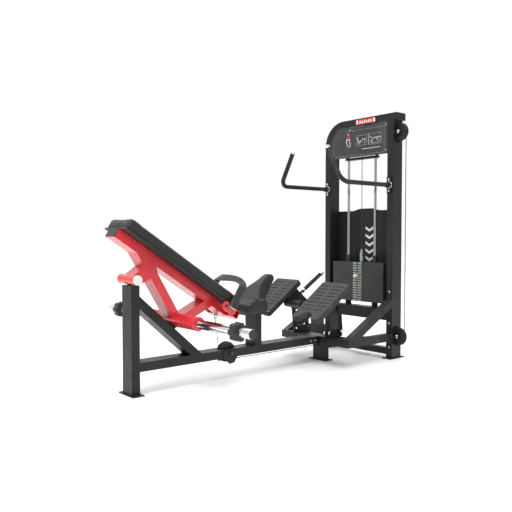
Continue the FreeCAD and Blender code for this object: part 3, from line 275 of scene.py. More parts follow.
def webbing():
    look = Shader("black_webbing")
    weave = look.add("ShaderNodeTexWave", wave_type="BANDS", bands_direction="DIAGONAL")
    look.feed(weave.inputs["Vector"], look.place)
    weave.inputs["Scale"].default_value = 260
    weave.inputs["Distortion"].default_value = 1.2
    threads = look.noise(900, 3, where=look.stretched((1, 3, 1)))
    pill = look.noise(60, 6)
    fibre = look.blend(look.span(pill, 0.35, 0.75), (0.014, 0.014, 0.015), (0.045, 0.045, 0.047))
    look.set(Base_Color=fibre, Roughness=0.86, Sheen_Weight=0.35, Sheen_Roughness=0.4)
    fine = look.bump(threads, 0.0002, 0.7)
    look.set(Normal=look.bump(weave.outputs["Fac"], 0.0004, 0.7, over=fine))
    return look.material


def printed(name, colour, rough=0.4):
    """Screen-printed ink, slightly uneven and scuffed."""
    look = Shader(name)
    uneven = look.noise(320, 4)
    look.set(Base_Color=look.blend(look.span(uneven, 0.25, 0.8), colour,
                                   tuple(channel * 0.72 for channel in colour)),
             Roughness=look.span(uneven, 0.3, 0.7, rough - 0.08, rough + 0.12),
             Normal=look.bump(uneven, 0.00003, 0.6))
    return look.material


def floor_look():
    look = Shader("studio_floor")
    speck = look.noise(3, 5)
    look.set(Base_Color=look.blend(speck, (0.93, 0.93, 0.93), (0.96, 0.96, 0.96)), Roughness=0.9)
    return look.material


TREAD_TILT, TREAD_TOP_EDGE = math.radians(34.8), 0.343


def steel_backed_rubber():
    """Foot plate: rubber pad on top of a painted steel plate, parted by a dark seam along the slab."""
    look = Shader("foot_plate_rubber")
    tilt = TREAD_TILT
    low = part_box("foot_treads")[0]
    depth = look.math("ADD", look.math("MULTIPLY", look.axis("X"), math.sin(tilt)),
                      look.math("MULTIPLY", look.axis("Z"), -math.cos(tilt)))
    top = low.x * math.sin(tilt) - TREAD_TOP_EDGE * math.cos(tilt)
    below = look.span(depth, top + 0.0225, top + 0.0235)
    seam = look.math("MULTIPLY", look.span(depth, top + 0.0215, top + 0.0225),
                     look.span(depth, top + 0.0245, top + 0.0235))
    dust = look.noise(22, 6)
    grit = look.noise(900, 3)
    edge, rounded = look.edges(0.0014)
    pad = look.blend(look.span(dust, 0.35, 0.75), (0.020, 0.020, 0.0205), (0.036, 0.036, 0.0365))
    # edges painted lighter: a painted edge highlight on the rubber pad
    pad = look.blend(look.math("MULTIPLY", edge, 0.35), pad, (0.10, 0.10, 0.10))
    base = look.blend(below, pad, (0.010, 0.010, 0.0105))
    look.set(Base_Color=look.blend(seam, base, (0.004, 0.004, 0.004)),
             Roughness=look.math("ADD", look.span(grit, 0.3, 0.7, 0.6, 0.78),
                                 look.math("MULTIPLY", below, -0.25)),
             Normal=look.bump(grit, 0.00016, 0.8, over=rounded))
    return look.material


def axle_ends():
    """Pulley axles: bright on the tower, blackened on the base pulley near the bench."""
    look = Shader("pulley_axle_ends")
    at_tower = look.span(look.axis("X"), 1.2, 1.21)
    haze = look.noise(40, 4)
    edge, rounded = look.edges(0.0006)
    bright = look.blend(look.span(haze, 0.3, 0.7), (0.8, 0.81, 0.82), (0.6, 0.61, 0.63))
    # blackened axle ends with their edges painted lighter: a painted edge highlight
    black = look.blend(look.math("MULTIPLY", edge, 0.4), (0.016, 0.016, 0.016), (0.12, 0.12, 0.12))
    look.set(Metallic=at_tower, Base_Color=look.blend(at_tower, black, bright),
             Roughness=look.span(haze, 0.3, 0.7, 0.16, 0.34), Normal=rounded)
    return look.material


LOOKS = {
    "black_paint": painted("black_powder_coat", (0.009, 0.009, 0.0093), (0.015, 0.015, 0.0154),
                           (0.085, 0.085, 0.085), rough=(0.36, 0.52), shine=0.32),
    "red_paint": painted("red_gloss_coat", (0.58, 0.014, 0.024), (0.68, 0.022, 0.034), (0.88, 0.24, 0.22),
                         rough=(0.24, 0.36), grain=700, coat=0.4, depth=0.00003),
    "stack_paint": painted("stack_paint", (0.016, 0.016, 0.0165), (0.026, 0.026, 0.0265),
                           (0.16, 0.16, 0.16), rough=(0.34, 0.5), grain=900, round_edge=0.001),
    "chrome": chromed(),
    "steel": turned_steel(),
    "vinyl": vinyl("grey_vinyl", (0.012, 0.012, 0.0123), (0.020, 0.020, 0.0203)),
    "board": plastic("stained_board", (0.012, 0.010, 0.009), (0.022, 0.018, 0.016), 0.5),
    "rubber": rubber("black_rubber", (0.010, 0.010, 0.010), (0.026, 0.026, 0.026)),
    "black_plastic": plastic("black_plastic", (0.010, 0.010, 0.0105), (0.020, 0.020, 0.0205)),
    "white_plastic": plastic("white_nylon", (0.70, 0.69, 0.66), (0.82, 0.81, 0.78), 0.34),
    "panel": painted("panel_face", (0.030, 0.030, 0.031), (0.044, 0.044, 0.045), (0.13, 0.13, 0.13),
                     grain=1600),
    "webbing": webbing(),
    "cable": plastic("coated_cable", (0.010, 0.010, 0.0105), (0.022, 0.022, 0.0225), 0.62),
}
INK_WHITE = printed("white_ink", (0.78, 0.78, 0.77))
INK_RED = printed("red_ink", (0.62, 0.02, 0.03))
INK_GREY = printed("grey_ink", (0.32, 0.32, 0.33))
OWN_LOOKS = {
    "foot_treads": steel_backed_rubber(),
    "lever_grip": rubber("ribbed_grip", (0.016, 0.016, 0.016), (0.04, 0.04, 0.04), ribs=70),
    "selector_pin": LOOKS["white_plastic"],
    "bench_bolts": LOOKS["black_paint"],
    "pulley_axles": axle_ends(),
}
for name, item in NODES.items():
    item.data.materials.clear()
    item.data.materials.append(OWN_LOOKS.get(name, LOOKS[SLOT_OF[name]]))


# ---------------------------------------------------------------- piece helpers
def free_piece(name, mesh, slot, material=None):
    item = bpy.data.objects.new(name, mesh)
    bpy.context.scene.collection.objects.link(item)
    item.data.materials.append(material or LOOKS[slot])
    return item


def piece(name, mesh, body, slot, material=None):
    """A new mesh object that rides on a CAD body and takes a record slot's finish."""
    item = free_piece(name, mesh, slot, material)
    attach(item, body)
    return item


def shade_smooth(mesh):
    for face in mesh.polygons:
        face.use_smooth = True


def skin(shape, rows, capped=True):
    """Joins closed rows of points into a tube, with a face on each end if it is capped."""
    for first, second in zip(rows, rows[1:]):
        for spot, vert in enumerate(first):
            following = (spot + 1) % len(first)
            shape.faces.new((vert, first[following], second[following], second[spot]))
    if capped:
        shape.faces.new(list(reversed(rows[0])))
        shape.faces.new(rows[-1])


def mesh_of(name, make):
    """Mesh filled by a function that adds to an empty bmesh."""
    shape = bmesh.new()
    make(shape)
    bmesh.ops.recalc_face_normals(shape, faces=shape.faces)
    mesh = bpy.data.meshes.new(name)
    shape.to_mesh(mesh)
    shape.free()
    return mesh


def slab(shape, origin, along, up, points, thick):
    """Flat figure of points in the plane of two directions, raised by its thickness."""
    normal = along.cross(up).normalized()
    base = [shape.verts.new(origin + along * a + up * b) for a, b in points]
    top = [shape.verts.new(origin + along * a + up * b + normal * thick) for a, b in points]
    shape.faces.new(top)
    shape.faces.new(list(reversed(base)))
    for spot, vert in enumerate(base):
        following = (spot + 1) % len(base)
        shape.faces.new((vert, base[following], top[following], top[spot]))


def stroke(start, end, radius, steps=5):
    """Outline of a thick line with round ends."""
    (a, b), (c, d) = start, end
    heading = math.atan2(d - b, c - a)
    outline = []
    for centre, turn in (((c, d), heading), ((a, b), heading + math.pi)):
        for step in range(steps + 1):
            angle = turn - math.pi / 2 + math.pi * step / steps
            outline.append((centre[0] + radius * math.cos(angle), centre[1] + radius * math.sin(angle)))
    return outline


def ring_points(centre, radius, count=20):
    return [(centre[0] + radius * math.cos(2 * math.pi * spot / count),
             centre[1] + radius * math.sin(2 * math.pi * spot / count)) for spot in range(count)]


def tube_along(name, points, radius, closed=False, sides=8):
    """Smooth tube through points, as a mesh."""
    curve = bpy.data.curves.new(name, "CURVE")
    curve.dimensions = "3D"
    curve.bevel_depth = radius
    curve.bevel_resolution = max(1, sides // 4)
    curve.resolution_u = 3
    line = curve.splines.new("NURBS")
    line.points.add(len(points) - 1)
    for spot, point in zip(line.points, points):
        spot.co = (*point, 1)
    line.order_u = 3
    line.use_cyclic_u = closed
    line.use_endpoint_u = not closed
    holder = bpy.data.objects.new(name, curve)
    bpy.context.scene.collection.objects.link(holder)
    bpy.context.view_layer.update()
    mesh = bpy.data.meshes.new_from_object(holder.evaluated_get(bpy.context.evaluated_depsgraph_get()))
    bpy.data.objects.remove(holder)
    shade_smooth(mesh)
    return mesh


# ---------------------------------------------------------------- bench frame of reference
BENCH_TILT = math.radians(33.26)
ALONG = Vector((math.cos(BENCH_TILT), 0, -math.sin(BENCH_TILT)))
RISE = Vector((math.sin(BENCH_TILT), 0, math.cos(BENCH_TILT)))
SIDE = Vector((0, 1, 0))


def corner_of_pad():
    """Head end of the back pad's top face on the middle plane, and its length, width and thickness."""
    low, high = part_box("back_pad")
    verts = [vert.co for vert in NODES["back_pad"].data.vertices]
    start = min(vert.dot(ALONG) for vert in verts)
    top, foot = (pick(vert.dot(RISE) for vert in verts) for pick in (max, min))
    long = max(vert.dot(ALONG) for vert in verts) - start
    return ALONG * start + RISE * top, long, high.y - low.y, top - foot


PAD_CORNER, PAD_LONG, PAD_WIDE, PAD_THICK = corner_of_pad()


def on_bench(along, side, rise):
    return PAD_CORNER + ALONG * along + SIDE * side + RISE * rise


# ---------------------------------------------------------------- upholstery
def remeshed(item, voxel):
    remesh = item.modifiers.new("remesh", "REMESH")
    remesh.mode = "VOXEL"
    remesh.voxel_size = voxel
    apply_modifiers(item)


def soften(item, voxel, pressure, cap, frames=20):
    """Remeshes a closed piece and fills it out with cloth under pressure, by the cap at most."""
    remeshed(item, voxel)
    shade_smooth(item.data)
    rest = [vert.co.copy() for vert in item.data.vertices]
    cloth = item.modifiers.new("cloth", "CLOTH")
    cloth.settings.use_pressure = True
    cloth.settings.uniform_pressure_force = pressure
    cloth.settings.tension_stiffness = 25
    cloth.settings.bending_stiffness = 6
    cloth.settings.effector_weights.gravity = 0
    cloth.collision_settings.use_collision = False
    cloth.point_cache.frame_end = frames
    for number in range(1, frames + 1):
        bpy.context.scene.frame_set(number)
    apply_modifiers(item)
    bpy.context.scene.frame_set(1)
    for vert, start in zip(item.data.vertices, rest):
        move = vert.co - start
        if move.length > cap:
            vert.co = start + move * (cap / move.length)


def apply_modifiers(item):
    """Turns the evaluated shape into the piece's own mesh."""
    bpy.context.view_layer.update()
    shaped = bpy.data.meshes.new_from_object(item.evaluated_get(bpy.context.evaluated_depsgraph_get()))
    item.modifiers.clear()
    old = item.data
    kept = list(old.materials)
    item.data = shaped
    shaped.materials.clear()
    for material in kept:
        shaped.materials.append(material)
    bpy.data.meshes.remove(old)


def smooth_mesh(mesh, rounds, factor=0.5):
    shape = bmesh.new()
    shape.from_mesh(mesh)
    for _ in range(rounds):
        bmesh.ops.smooth_vert(shape, verts=shape.verts, factor=factor, use_axis_x=True, use_axis_y=True,
                              use_axis_z=True)
    shape.to_mesh(mesh)
    shape.free()


def subdivide_smooth(item, levels=1):
    surface = item.modifiers.new("surface", "SUBSURF")
    surface.levels = levels
    surface.render_levels = levels
    apply_modifiers(item)
    shade_smooth(item.data)


def pad_box(name, long, wide, thick, inset):
    """Closed block in bench directions, inset from the CAD pad on all sides but the underside."""
    def make(shape):
        bmesh.ops.create_cube(shape, size=1.0)
        for vert in shape.verts:
            along = inset if vert.co.x < 0 else long - inset
            side = (wide / 2 - inset) * (1 if vert.co.y > 0 else -1)
            rise = -inset if vert.co.z > 0 else -thick
            vert.co = on_bench(along, side, rise)
        upright = [edge for edge in shape.edges
                   if abs((edge.verts[0].co - edge.verts[1].co).normalized().dot(RISE)) > 0.99]
        bmesh.ops.bevel(shape, geom=upright, offset=20 * MM, segments=5, affect="EDGES", profile=0.5)
        rims = [edge for edge in shape.edges
                if abs((edge.verts[0].co - edge.verts[1].co).normalized().dot(RISE)) < 0.99]
        bmesh.ops.bevel(shape, geom=rims, offset=8 * MM, segments=3, affect="EDGES", profile=0.6)
    return mesh_of(name, make)


def back_cushion():
    """Firm pad with a boxed side panel, a crowned top and two stitched seams that run round it."""
    pad = piece("back_cushion", pad_box("back_cushion", PAD_LONG, PAD_WIDE, PAD_THICK, 4 * MM), "bench",
                "vinyl")
    soften(pad, 6 * MM, 4.0, 6 * MM)
    subdivide_smooth(pad)
    seams = (-9 * MM, -PAD_THICK + 8 * MM)
    for vert in pad.data.vertices:
        local = vert.co - PAD_CORNER
        along, side, rise = local.dot(ALONG), local.y, local.dot(RISE)
        middle = min(min(along, PAD_LONG - along), PAD_WIDE / 2 - abs(side))
        drop = 0.0
        if rise > -4 * MM:
            drop -= 1.2 * MM * math.exp(-((middle - 14 * MM) / (7 * MM)) ** 2)
        if middle < 14 * MM:
            if PAD_WIDE / 2 - abs(side) <= middle + 1e-6:
                outward = Vector((0, math.copysign(1, side), 0))
            else:
                outward = ALONG * (-1 if along < PAD_LONG / 2 else 1)
            for seam in seams:
                vert.co -= outward * (2.2 * MM * math.exp(-((rise - seam) / (2.4 * MM)) ** 2))
            pucker = noise.noise(Vector((along * 22, side * 22, rise * 40))) * 0.7 * MM
            vert.co += outward * pucker
        vert.co += RISE * drop
        waves = noise.noise(Vector((along * 7, side * 9, 3.1))) * 0.8 * MM
        vert.co += RISE * (waves if rise > -6 * MM else 0)
        overshoot = (vert.co - PAD_CORNER).dot(RISE) + PAD_THICK
        if overshoot < 0:
            vert.co -= RISE * overshoot
    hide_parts("back_pad")
    surface = BVHTree.FromPolygons([vert.co for vert in pad.data.vertices],
                                   [tuple(face.vertices) for face in pad.data.polygons])
    for count, seam in enumerate(seams):
        add_seam(f"back_cushion_seam_{count + 1}", surface, seam)
    return pad


def pad_loop(rise, out):
    """Points round the pad's side at one height, with rounded corners."""
    radius = 20 * MM
    half_long, half_wide = PAD_LONG / 2 + out, PAD_WIDE / 2 + out
    points = []
    for corner, (x, y) in enumerate(((1, -1), (1, 1), (-1, 1), (-1, -1))):
        start = math.radians(-90 + 90 * corner)
        for step in range(4):
            turn = start + math.radians(90) * step / 3
            points.append(on_bench(PAD_LONG / 2 + x * (half_long - radius) + radius * math.cos(turn),
                                   y * (half_wide - radius) + radius * math.sin(turn), rise))
    return points


def laid_loop(surface, rise, sunk, step):
    """Closed loop round the pad's side at one height, laid on the cushion and sunk into it."""
    core = 40 * MM
    points = []
    for point in dense(pad_loop(rise, 14 * MM), step):
        local = point - PAD_CORNER
        along = min(max(local.dot(ALONG), core), PAD_LONG - core)
        side = min(max(local.y, core - PAD_WIDE / 2), PAD_WIDE / 2 - core)
        inward = (on_bench(along, side, rise) - point).normalized()
        found = surface.ray_cast(point, inward)[0]
        points.append((found or point + inward * 14 * MM) + inward * sunk)
    return points


def add_seam(name, surface, rise):
    """Thin welt cord sunk in the seam and a row of stitches just above it."""
    welt = tube_along(name, laid_loop(surface, rise, 1.0 * MM, 12 * MM), 1.5 * MM, closed=True)
    piece(name, welt, "bench", "vinyl")
    above = laid_loop(surface, rise + 4.5 * MM, 0.1 * MM, 6 * MM)
    piece(name + "_stitches", stitch_row(name + "_stitches", above, 0.5 * MM), "bench", "webbing")


def dense(loop, step):
    """Closed loop of points filled in so that none lie further apart than the step."""
    points = []
    for spot, start in enumerate(loop):
        end = loop[(spot + 1) % len(loop)]
        parts = max(1, int((end - start).length / step))
        points += [start.lerp(end, part / parts) for part in range(parts)]
    return points


def stitch_row(name, points, radius):
    """A short length of thread between each two neighbouring points."""
    def make(shape):
        for start, end in zip(points, points[1:]):
            run = (end - start) * 0.62
            if run.length < 1e-5:
                continue
            turn = run.to_track_quat("Z", "Y").to_matrix().to_4x4()
            place = Matrix.Translation(start + run / 2) @ turn
            bmesh.ops.create_cone(shape, segments=5, radius1=radius, radius2=radius, depth=run.length,
                                  cap_ends=True, matrix=place)
    return mesh_of(name, make)


def saddle():
    """Saddle seat: the CAD block rounded off and filled out by cloth."""
    mesh = NODES["seat_pad"].data.copy()
    mesh.materials.clear()
    seat = piece("saddle_cushion", mesh, "frame", "vinyl")
    remeshed(seat, 5 * MM)
    smooth_mesh(seat.data, 6, 0.6)
    soften(seat, 5 * MM, 1.5, 2.5 * MM)
    smooth_mesh(seat.data, 2, 0.5)
    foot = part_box("seat_pad")[0].z
    for vert in seat.data.vertices:
        vert.co.z = max(vert.co.z, foot + 0.4 * MM)
        vert.co += Vector((0, 1, 0)) * noise.noise(vert.co * 26) * 0.5 * MM
    subdivide_smooth(seat)
    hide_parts("seat_pad")
    return seat


# ---------------------------------------------------------------- hip belt
BELT_WIDE = 55 * MM
BELT_REACH, BELT_LEG, BELT_RISE = 142 * MM, 132 * MM, 63 * MM
BELT_FOOT, BELT_DROP = 816 * MM, 81 * MM
CROWN_LEAN, CROWN_TWIST = math.radians(-28), math.radians(-69)


def belt_station(part):
    """Centre, width and outward directions of the belt at a share of its run, 0 and 1 being its feet."""
    leg_share = 0.22
    share, over = 0.0, 0.0
    foot = on_bench(BELT_FOOT, 0, -BELT_DROP)
    if part < leg_share or part > 1 - leg_share:
        climb = min(part, 1 - part) / leg_share
        side = -1 if part < 0.5 else 1
        y, high, roll = side * BELT_REACH, BELT_LEG * climb, side * math.pi / 2
    else:
        turn = math.pi * (part - leg_share) / (1 - 2 * leg_share)
        y, high, over = -BELT_REACH * math.cos(turn), BELT_LEG, BELT_RISE * math.sin(turn)
        share, roll = math.sin(turn), turn - math.pi / 2
    swing = BENCH_TILT + (CROWN_LEAN - BENCH_TILT) * share ** 2
    centre = foot + Vector((high * math.sin(BENCH_TILT) + over * math.sin(swing), y,
                            high * math.cos(BENCH_TILT) + over * math.cos(swing)))
    twist = BENCH_TILT + CROWN_TWIST * share
    across = Vector((math.cos(twist), 0, -math.sin(twist)))
    up = Vector((math.sin(twist), 0, math.cos(twist)))
    return centre, across, up * math.cos(roll) + SIDE * math.sin(roll)


def belt_half(part):
    """Half thickness: flat webbing at the feet, padded over the crown."""
    fill = min(1.0, max(0.0, (min(part, 1 - part) - 0.1) / 0.1))
    fill = fill * fill * (3 - 2 * fill)
    return (2.4 + 2.6 * fill) * MM, fill


def hip_belt():
    """Padded strap: rolled edges, cross channels sewn through the padding, bindings and stitches."""
    steps, around = 150, 28
    wide = BELT_WIDE / 2

    def make(shape):
        rings = []
        for step in range(steps + 1):
            part = step / steps
            centre, across, outward = belt_station(part)
            half, fill = belt_half(part)
            channel = 1 - 0.32 * fill * math.exp(-((((part * 17) % 1) - 0.5) / 0.1) ** 2)
            ring = []
            for spot in range(around):
                angle = 2 * math.pi * spot / around
                cosine, sine = math.cos(angle), math.sin(angle)
                flat = math.copysign(abs(cosine) ** 0.42, cosine)
                bulge = math.copysign(abs(sine) ** 0.75, sine)
                edge_seam = 1 - 0.4 * fill * math.exp(-((abs(flat) - 0.8) / 0.05) ** 2)
                ripple = 1 + 0.05 * noise.noise(Vector((part * 60, flat * 2, sine)))
                ring.append(shape.verts.new(centre + across * wide * flat
                                            + outward * half * bulge * channel * edge_seam * ripple))
            rings.append(ring)
        skin(shape, rings)
    belt = piece("hip_belt_strap", mesh_of("hip_belt_strap", make), "bench", "webbing")
    shade_smooth(belt.data)
    subdivide_smooth(belt)
    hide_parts("hip_belt")
    for count, edge in enumerate((-1, 1)):
        stations = [belt_station(spot / 90) for spot in range(91)]
        rim = [centre + across * edge * (wide - 0.8 * MM) for centre, across, outward in stations]
        piece(f"hip_belt_binding_{count + 1}", tube_along("binding", rim, 2.3 * MM), "bench", "webbing")
        for face_count, face_side in enumerate((-1, 1)):
            thread = []
            for spot in range(181):
                part = spot / 180
                centre, across, outward = belt_station(part)
                half, fill = belt_half(part)
                lift = outward * face_side * half * (0.9 - 0.33 * fill)
                thread.append(centre + across * edge * wide * 0.8 + lift)
            row = stitch_row("stitches", thread, 0.5 * MM)
            piece(f"hip_belt_stitches_{count + 1}_{face_count + 1}", row, "bench", "webbing", INK_GREY)


# ---------------------------------------------------------------- straight cables
def straight_cable(name, start, end):
    """Coated wire rope along a straight line, with the lay of the strands just showing."""
    run = end - start
    length = run.length
    turn = run.to_track_quat("Z", "Y").to_matrix().to_4x4()
    place = Matrix.Translation(start) @ turn
    rings, around = max(8, int(length / (3 * MM))), 24

    def make(shape):
        rows = []
        for step in range(rings + 1):
            high = length * step / rings
            lay = 2 * math.pi * high / (26 * MM)
            row = []
            for spot in range(around):
                angle = 2 * math.pi * spot / around
                radius = 2.5 * MM - 0.16 * MM * (1 - abs(math.sin(3 * (angle + lay))))
                row.append(shape.verts.new(place @ Vector((radius * math.cos(angle),
                                                           radius * math.sin(angle), high))))
            rows.append(row)
        skin(shape, rows)
    mesh = mesh_of(name, make)
    shade_smooth(mesh)
    return mesh


def bench_cable():
    """Cable from the base pulley to the bench, as straight spans along one line.
    """
    low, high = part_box("cable_to_bench")
    start = Vector((high.x - 2.4 * MM, 0, low.z + 0.4 * MM))
    end = Vector((low.x + 2.5 * MM, 0, high.z - 0.1 * MM))

    spans = 7
    pieces = []
    for count in range(spans):
        first, last = count / spans, (count + 1) / spans
        a, b = start.lerp(end, first), start.lerp(end, last)
        item = free_piece(f"bench_cable_span_{count + 1}", straight_cable("bench_cable", a, b), "cable")
        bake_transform(item)
        pieces.append(item)
    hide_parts("cable_to_bench")
    return pieces


def stack_cable():
    low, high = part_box("cable_to_stack")
    middle = (low + high) / 2
    start, end = Vector((middle.x, 0, low.z)), Vector((middle.x, 0, high.z))
    item = free_piece("stack_cable", straight_cable("stack_cable", start, end), "cable")
    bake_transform(item)
    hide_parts("cable_to_stack")


# ---------------------------------------------------------------- small fittings
def handle_rings():
    """Chrome ring round each handle where it meets its flange plate."""
    low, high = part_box("handle_bars")
    face, out, middle = high.x - 11 * MM, -low.y - 18 * MM, low.z + 56 * MM
    for name, side in (("near", -1), ("far", 1)):
        loop = [Vector((face, side * out + y, middle + z)) for y, z in ring_points((0, 0), 22 * MM, 24)]
        ring = tube_along("handle_ring", loop, 2.6 * MM, closed=True)
        piece(f"handle_ring_{name}", ring, "frame", "chrome")


def arm_web():
    """Web plate with rounded corners that boxes in the near rear arm of the foot platform."""
    low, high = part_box("platform_rear_arms")
    inner, outer = low.y + 20 * MM, low.y + 137 * MM
    foot, top, corner = low.z + 12 * MM, high.z - 46 * MM, 10 * MM
    outline = []
    for y, z, start in ((outer - corner, foot + corner, -90), (outer - corner, top - corner, 0),
                        (inner + corner, top - corner, 90), (inner + corner, foot + corner, 180)):
        for step in range(5):
            turn = math.radians(start + 90 * step / 4)
            outline.append((y + corner * math.cos(turn), z + corner * math.sin(turn)))

    def make(shape):
        slab(shape, Vector((low.x, 0, 0)), SIDE, Vector((0, 0, 1)), outline, 5 * MM)
    return piece("rear_arm_web", mesh_of("rear_arm_web", make), "platform_arms", "black_paint")


# ---------------------------------------------------------------- marks on flat faces
FRONT_RIGHT, FRONT_UP = Vector((0, -1, 0)), Vector((0, 0, 1))
HEADER_FACE, PANEL_FACE = 1.837, 1.8415


def marks(name, x, outlines, body, slot, ink, thick=0.3 * MM):
    """Flat figures on a face that looks towards the bench, given as outlines of (y, z) in millimetres."""
    def make(shape):
        for outline in outlines:
            points = [(-y * MM, z * MM) for y, z in outline]
            area = sum(a[0] * b[1] - b[0] * a[1] for a, b in zip(points, points[1:] + points[:1]))
            ordered = points if area > 0 else points[::-1]
            slab(shape, Vector((x, 0, 0)), FRONT_RIGHT, FRONT_UP, ordered, thick)
    return piece(name, mesh_of(name, make), body, slot, ink)


def block(y, z, wide, high):
    return [(y, z), (y - wide, z), (y - wide, z + high), (y, z + high)]


def strokes(*lines):
    return [stroke(*line) for line in lines]


def outline_of(corners, radius):
    """A stroke from each corner to the next."""
    return [stroke(start, end, radius) for start, end in zip(corners, corners[1:])]


def header_marks():
    """White end blocks and a generic row of slanted bars on the red plate."""
    ends = [block(13, 1653, 16, 28), block(-141, 1653, 16, 28)]
    bars = []
    lean = 6
    for count in range(6):
        y = -14 - 20 * count
        high = 14 if count % 2 else 18
        bars.append([(y, 1658), (y - 11, 1658), (y - 11 - lean, 1658 + high), (y - lean, 1658 + high)])
    underline = [block(-12, 1654, 122, 2)]
    marks("header_marks", HEADER_FACE, ends + bars + underline, "frame", "white_plastic", INK_WHITE)


def panel_marks():
    """Generic instruction panel: a standing figure, two seat pictograms, a divider and short bars."""
    x = PANEL_FACE
    white = [ring_points((93, 1590), 5.5)]
    white += strokes(((101, 1556), (114, 1543), 4), ((114, 1543), (102, 1526), 3.8),
                     ((102, 1526), (100, 1507), 3.2), ((85, 1555), (79, 1534), 4.2),
                     ((79, 1534), (71, 1520), 3.8), ((71, 1520), (79, 1500), 3.2),
                     ((100, 1507), (106, 1504), 2.4), ((79, 1500), (86, 1496), 2.4))
    marks("panel_figure", x, white, "frame", "white_plastic", INK_WHITE)
    shirt = strokes(((93, 1580), (90, 1560), 7), ((98, 1577), (105, 1562), 2.6),
                    ((84, 1577), (79, 1562), 2.6))
    marks("panel_figure_shirt", x, shirt, "frame", "red_paint", INK_RED)
    grey = []
    for left, right, low, high in ((16, -82, 1500, 1572), (-108, -214, 1498, 1572)):
        grey += outline_of(((left, low), (right, low), (right, high), (left, high), (left, low)), 1.1)
    grey += strokes(((2, 1514), (-20, 1514), 3), ((-14, 1516), (-14, 1506), 2),
                    ((-58, 1508), (-72, 1548), 3), ((-118, 1508), (-146, 1508), 3),
                    ((-152, 1508), (-196, 1508), 2), ((-196, 1508), (-206, 1545), 3))
    marks("panel_pictogram_seats", x, grey, "frame", "steel", INK_GREY)
    people = strokes(((-6, 1522), (-38, 1532), 3.6), ((-38, 1532), (-50, 1548), 3.2),
                     ((-50, 1548), (-66, 1536), 2.8), ((-4, 1524), (2, 1546), 3.6))
    people.append(ring_points((4, 1556), 5))
    people += strokes(((-122, 1516), (-136, 1540), 3.6), ((-136, 1540), (-166, 1543), 3.4),
                      ((-166, 1543), (-198, 1545), 2.8))
    people.append(ring_points((-118, 1550), 5))
    people += strokes(((-166, 1543), (-180, 1520), 2.6))
    pale = printed("pale_ink", (0.62, 0.55, 0.54))
    marks("panel_pictogram_people", x, people, "frame", "white_plastic", pale)
    rule = strokes(((-96, 1496), (-96, 1580), 1.2))
    y = -38
    for count, wide in enumerate((14, 22, 18, 30, 12, 26, 20)):
        rule.append(block(y, 1471, wide, 3.4 if count % 2 else 4.2))
        y -= wide + 3
    rule.append(block(-192, 1471, 12, 3.4))
    marks("panel_rules", x, rule, "frame", "white_plastic", INK_WHITE)
    rim = outline_of(((236, 1434), (-236, 1434), (-236, 1612), (120, 1612)), 0.8)
    rim += outline_of(((236, 1434), (236, 1500)), 0.8)
    marks("panel_border", x, rim, "frame", "steel", INK_GREY)


def guard_marks():
    """Five white chevrons up the guard, in place of lettering."""
    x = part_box("rear_guard")[1].x - 2 * MM
    outlines = []
    for count in range(5):
        low = 664 + 54 * count
        outlines.append([(5, low + 22), (-31, low), (-67, low + 22), (-67, low + 40), (-31, low + 18),
                         (5, low + 40)])
    marks("guard_chevrons", x, outlines, "frame", "white_plastic", INK_WHITE, thick=0.4 * MM)


# ---------------------------------------------------------------- stack numbers
TINTS = ((0.22, 0.46, 0.40), (0.46, 0.46, 0.22), (0.48, 0.22, 0.28))
LABEL_HIGH = 8.8


def text_faces(shape, words, y, z, high, x):
    """Adds a number's faces, centred on (y, z) and facing the bench."""
    curve = bpy.data.curves.new("number", "FONT")
    curve.body = words
    curve.size = high * 1.36
    curve.align_x = "CENTER"
    curve.align_y = "CENTER"
    curve.extrude = 0.0001
    curve.resolution_u = 2
    holder = bpy.data.objects.new("number", curve)
    bpy.context.scene.collection.objects.link(holder)
    bpy.context.view_layer.update()
    mesh = bpy.data.meshes.new_from_object(holder.evaluated_get(bpy.context.evaluated_depsgraph_get()))
    turn = Matrix(((0, 0, -1, x), (-1, 0, 0, y), (0, 1, 0, z), (0, 0, 0, 1)))
    mesh.transform(turn)
    shape.from_mesh(mesh)
    bpy.data.objects.remove(holder)
    bpy.data.meshes.remove(mesh)


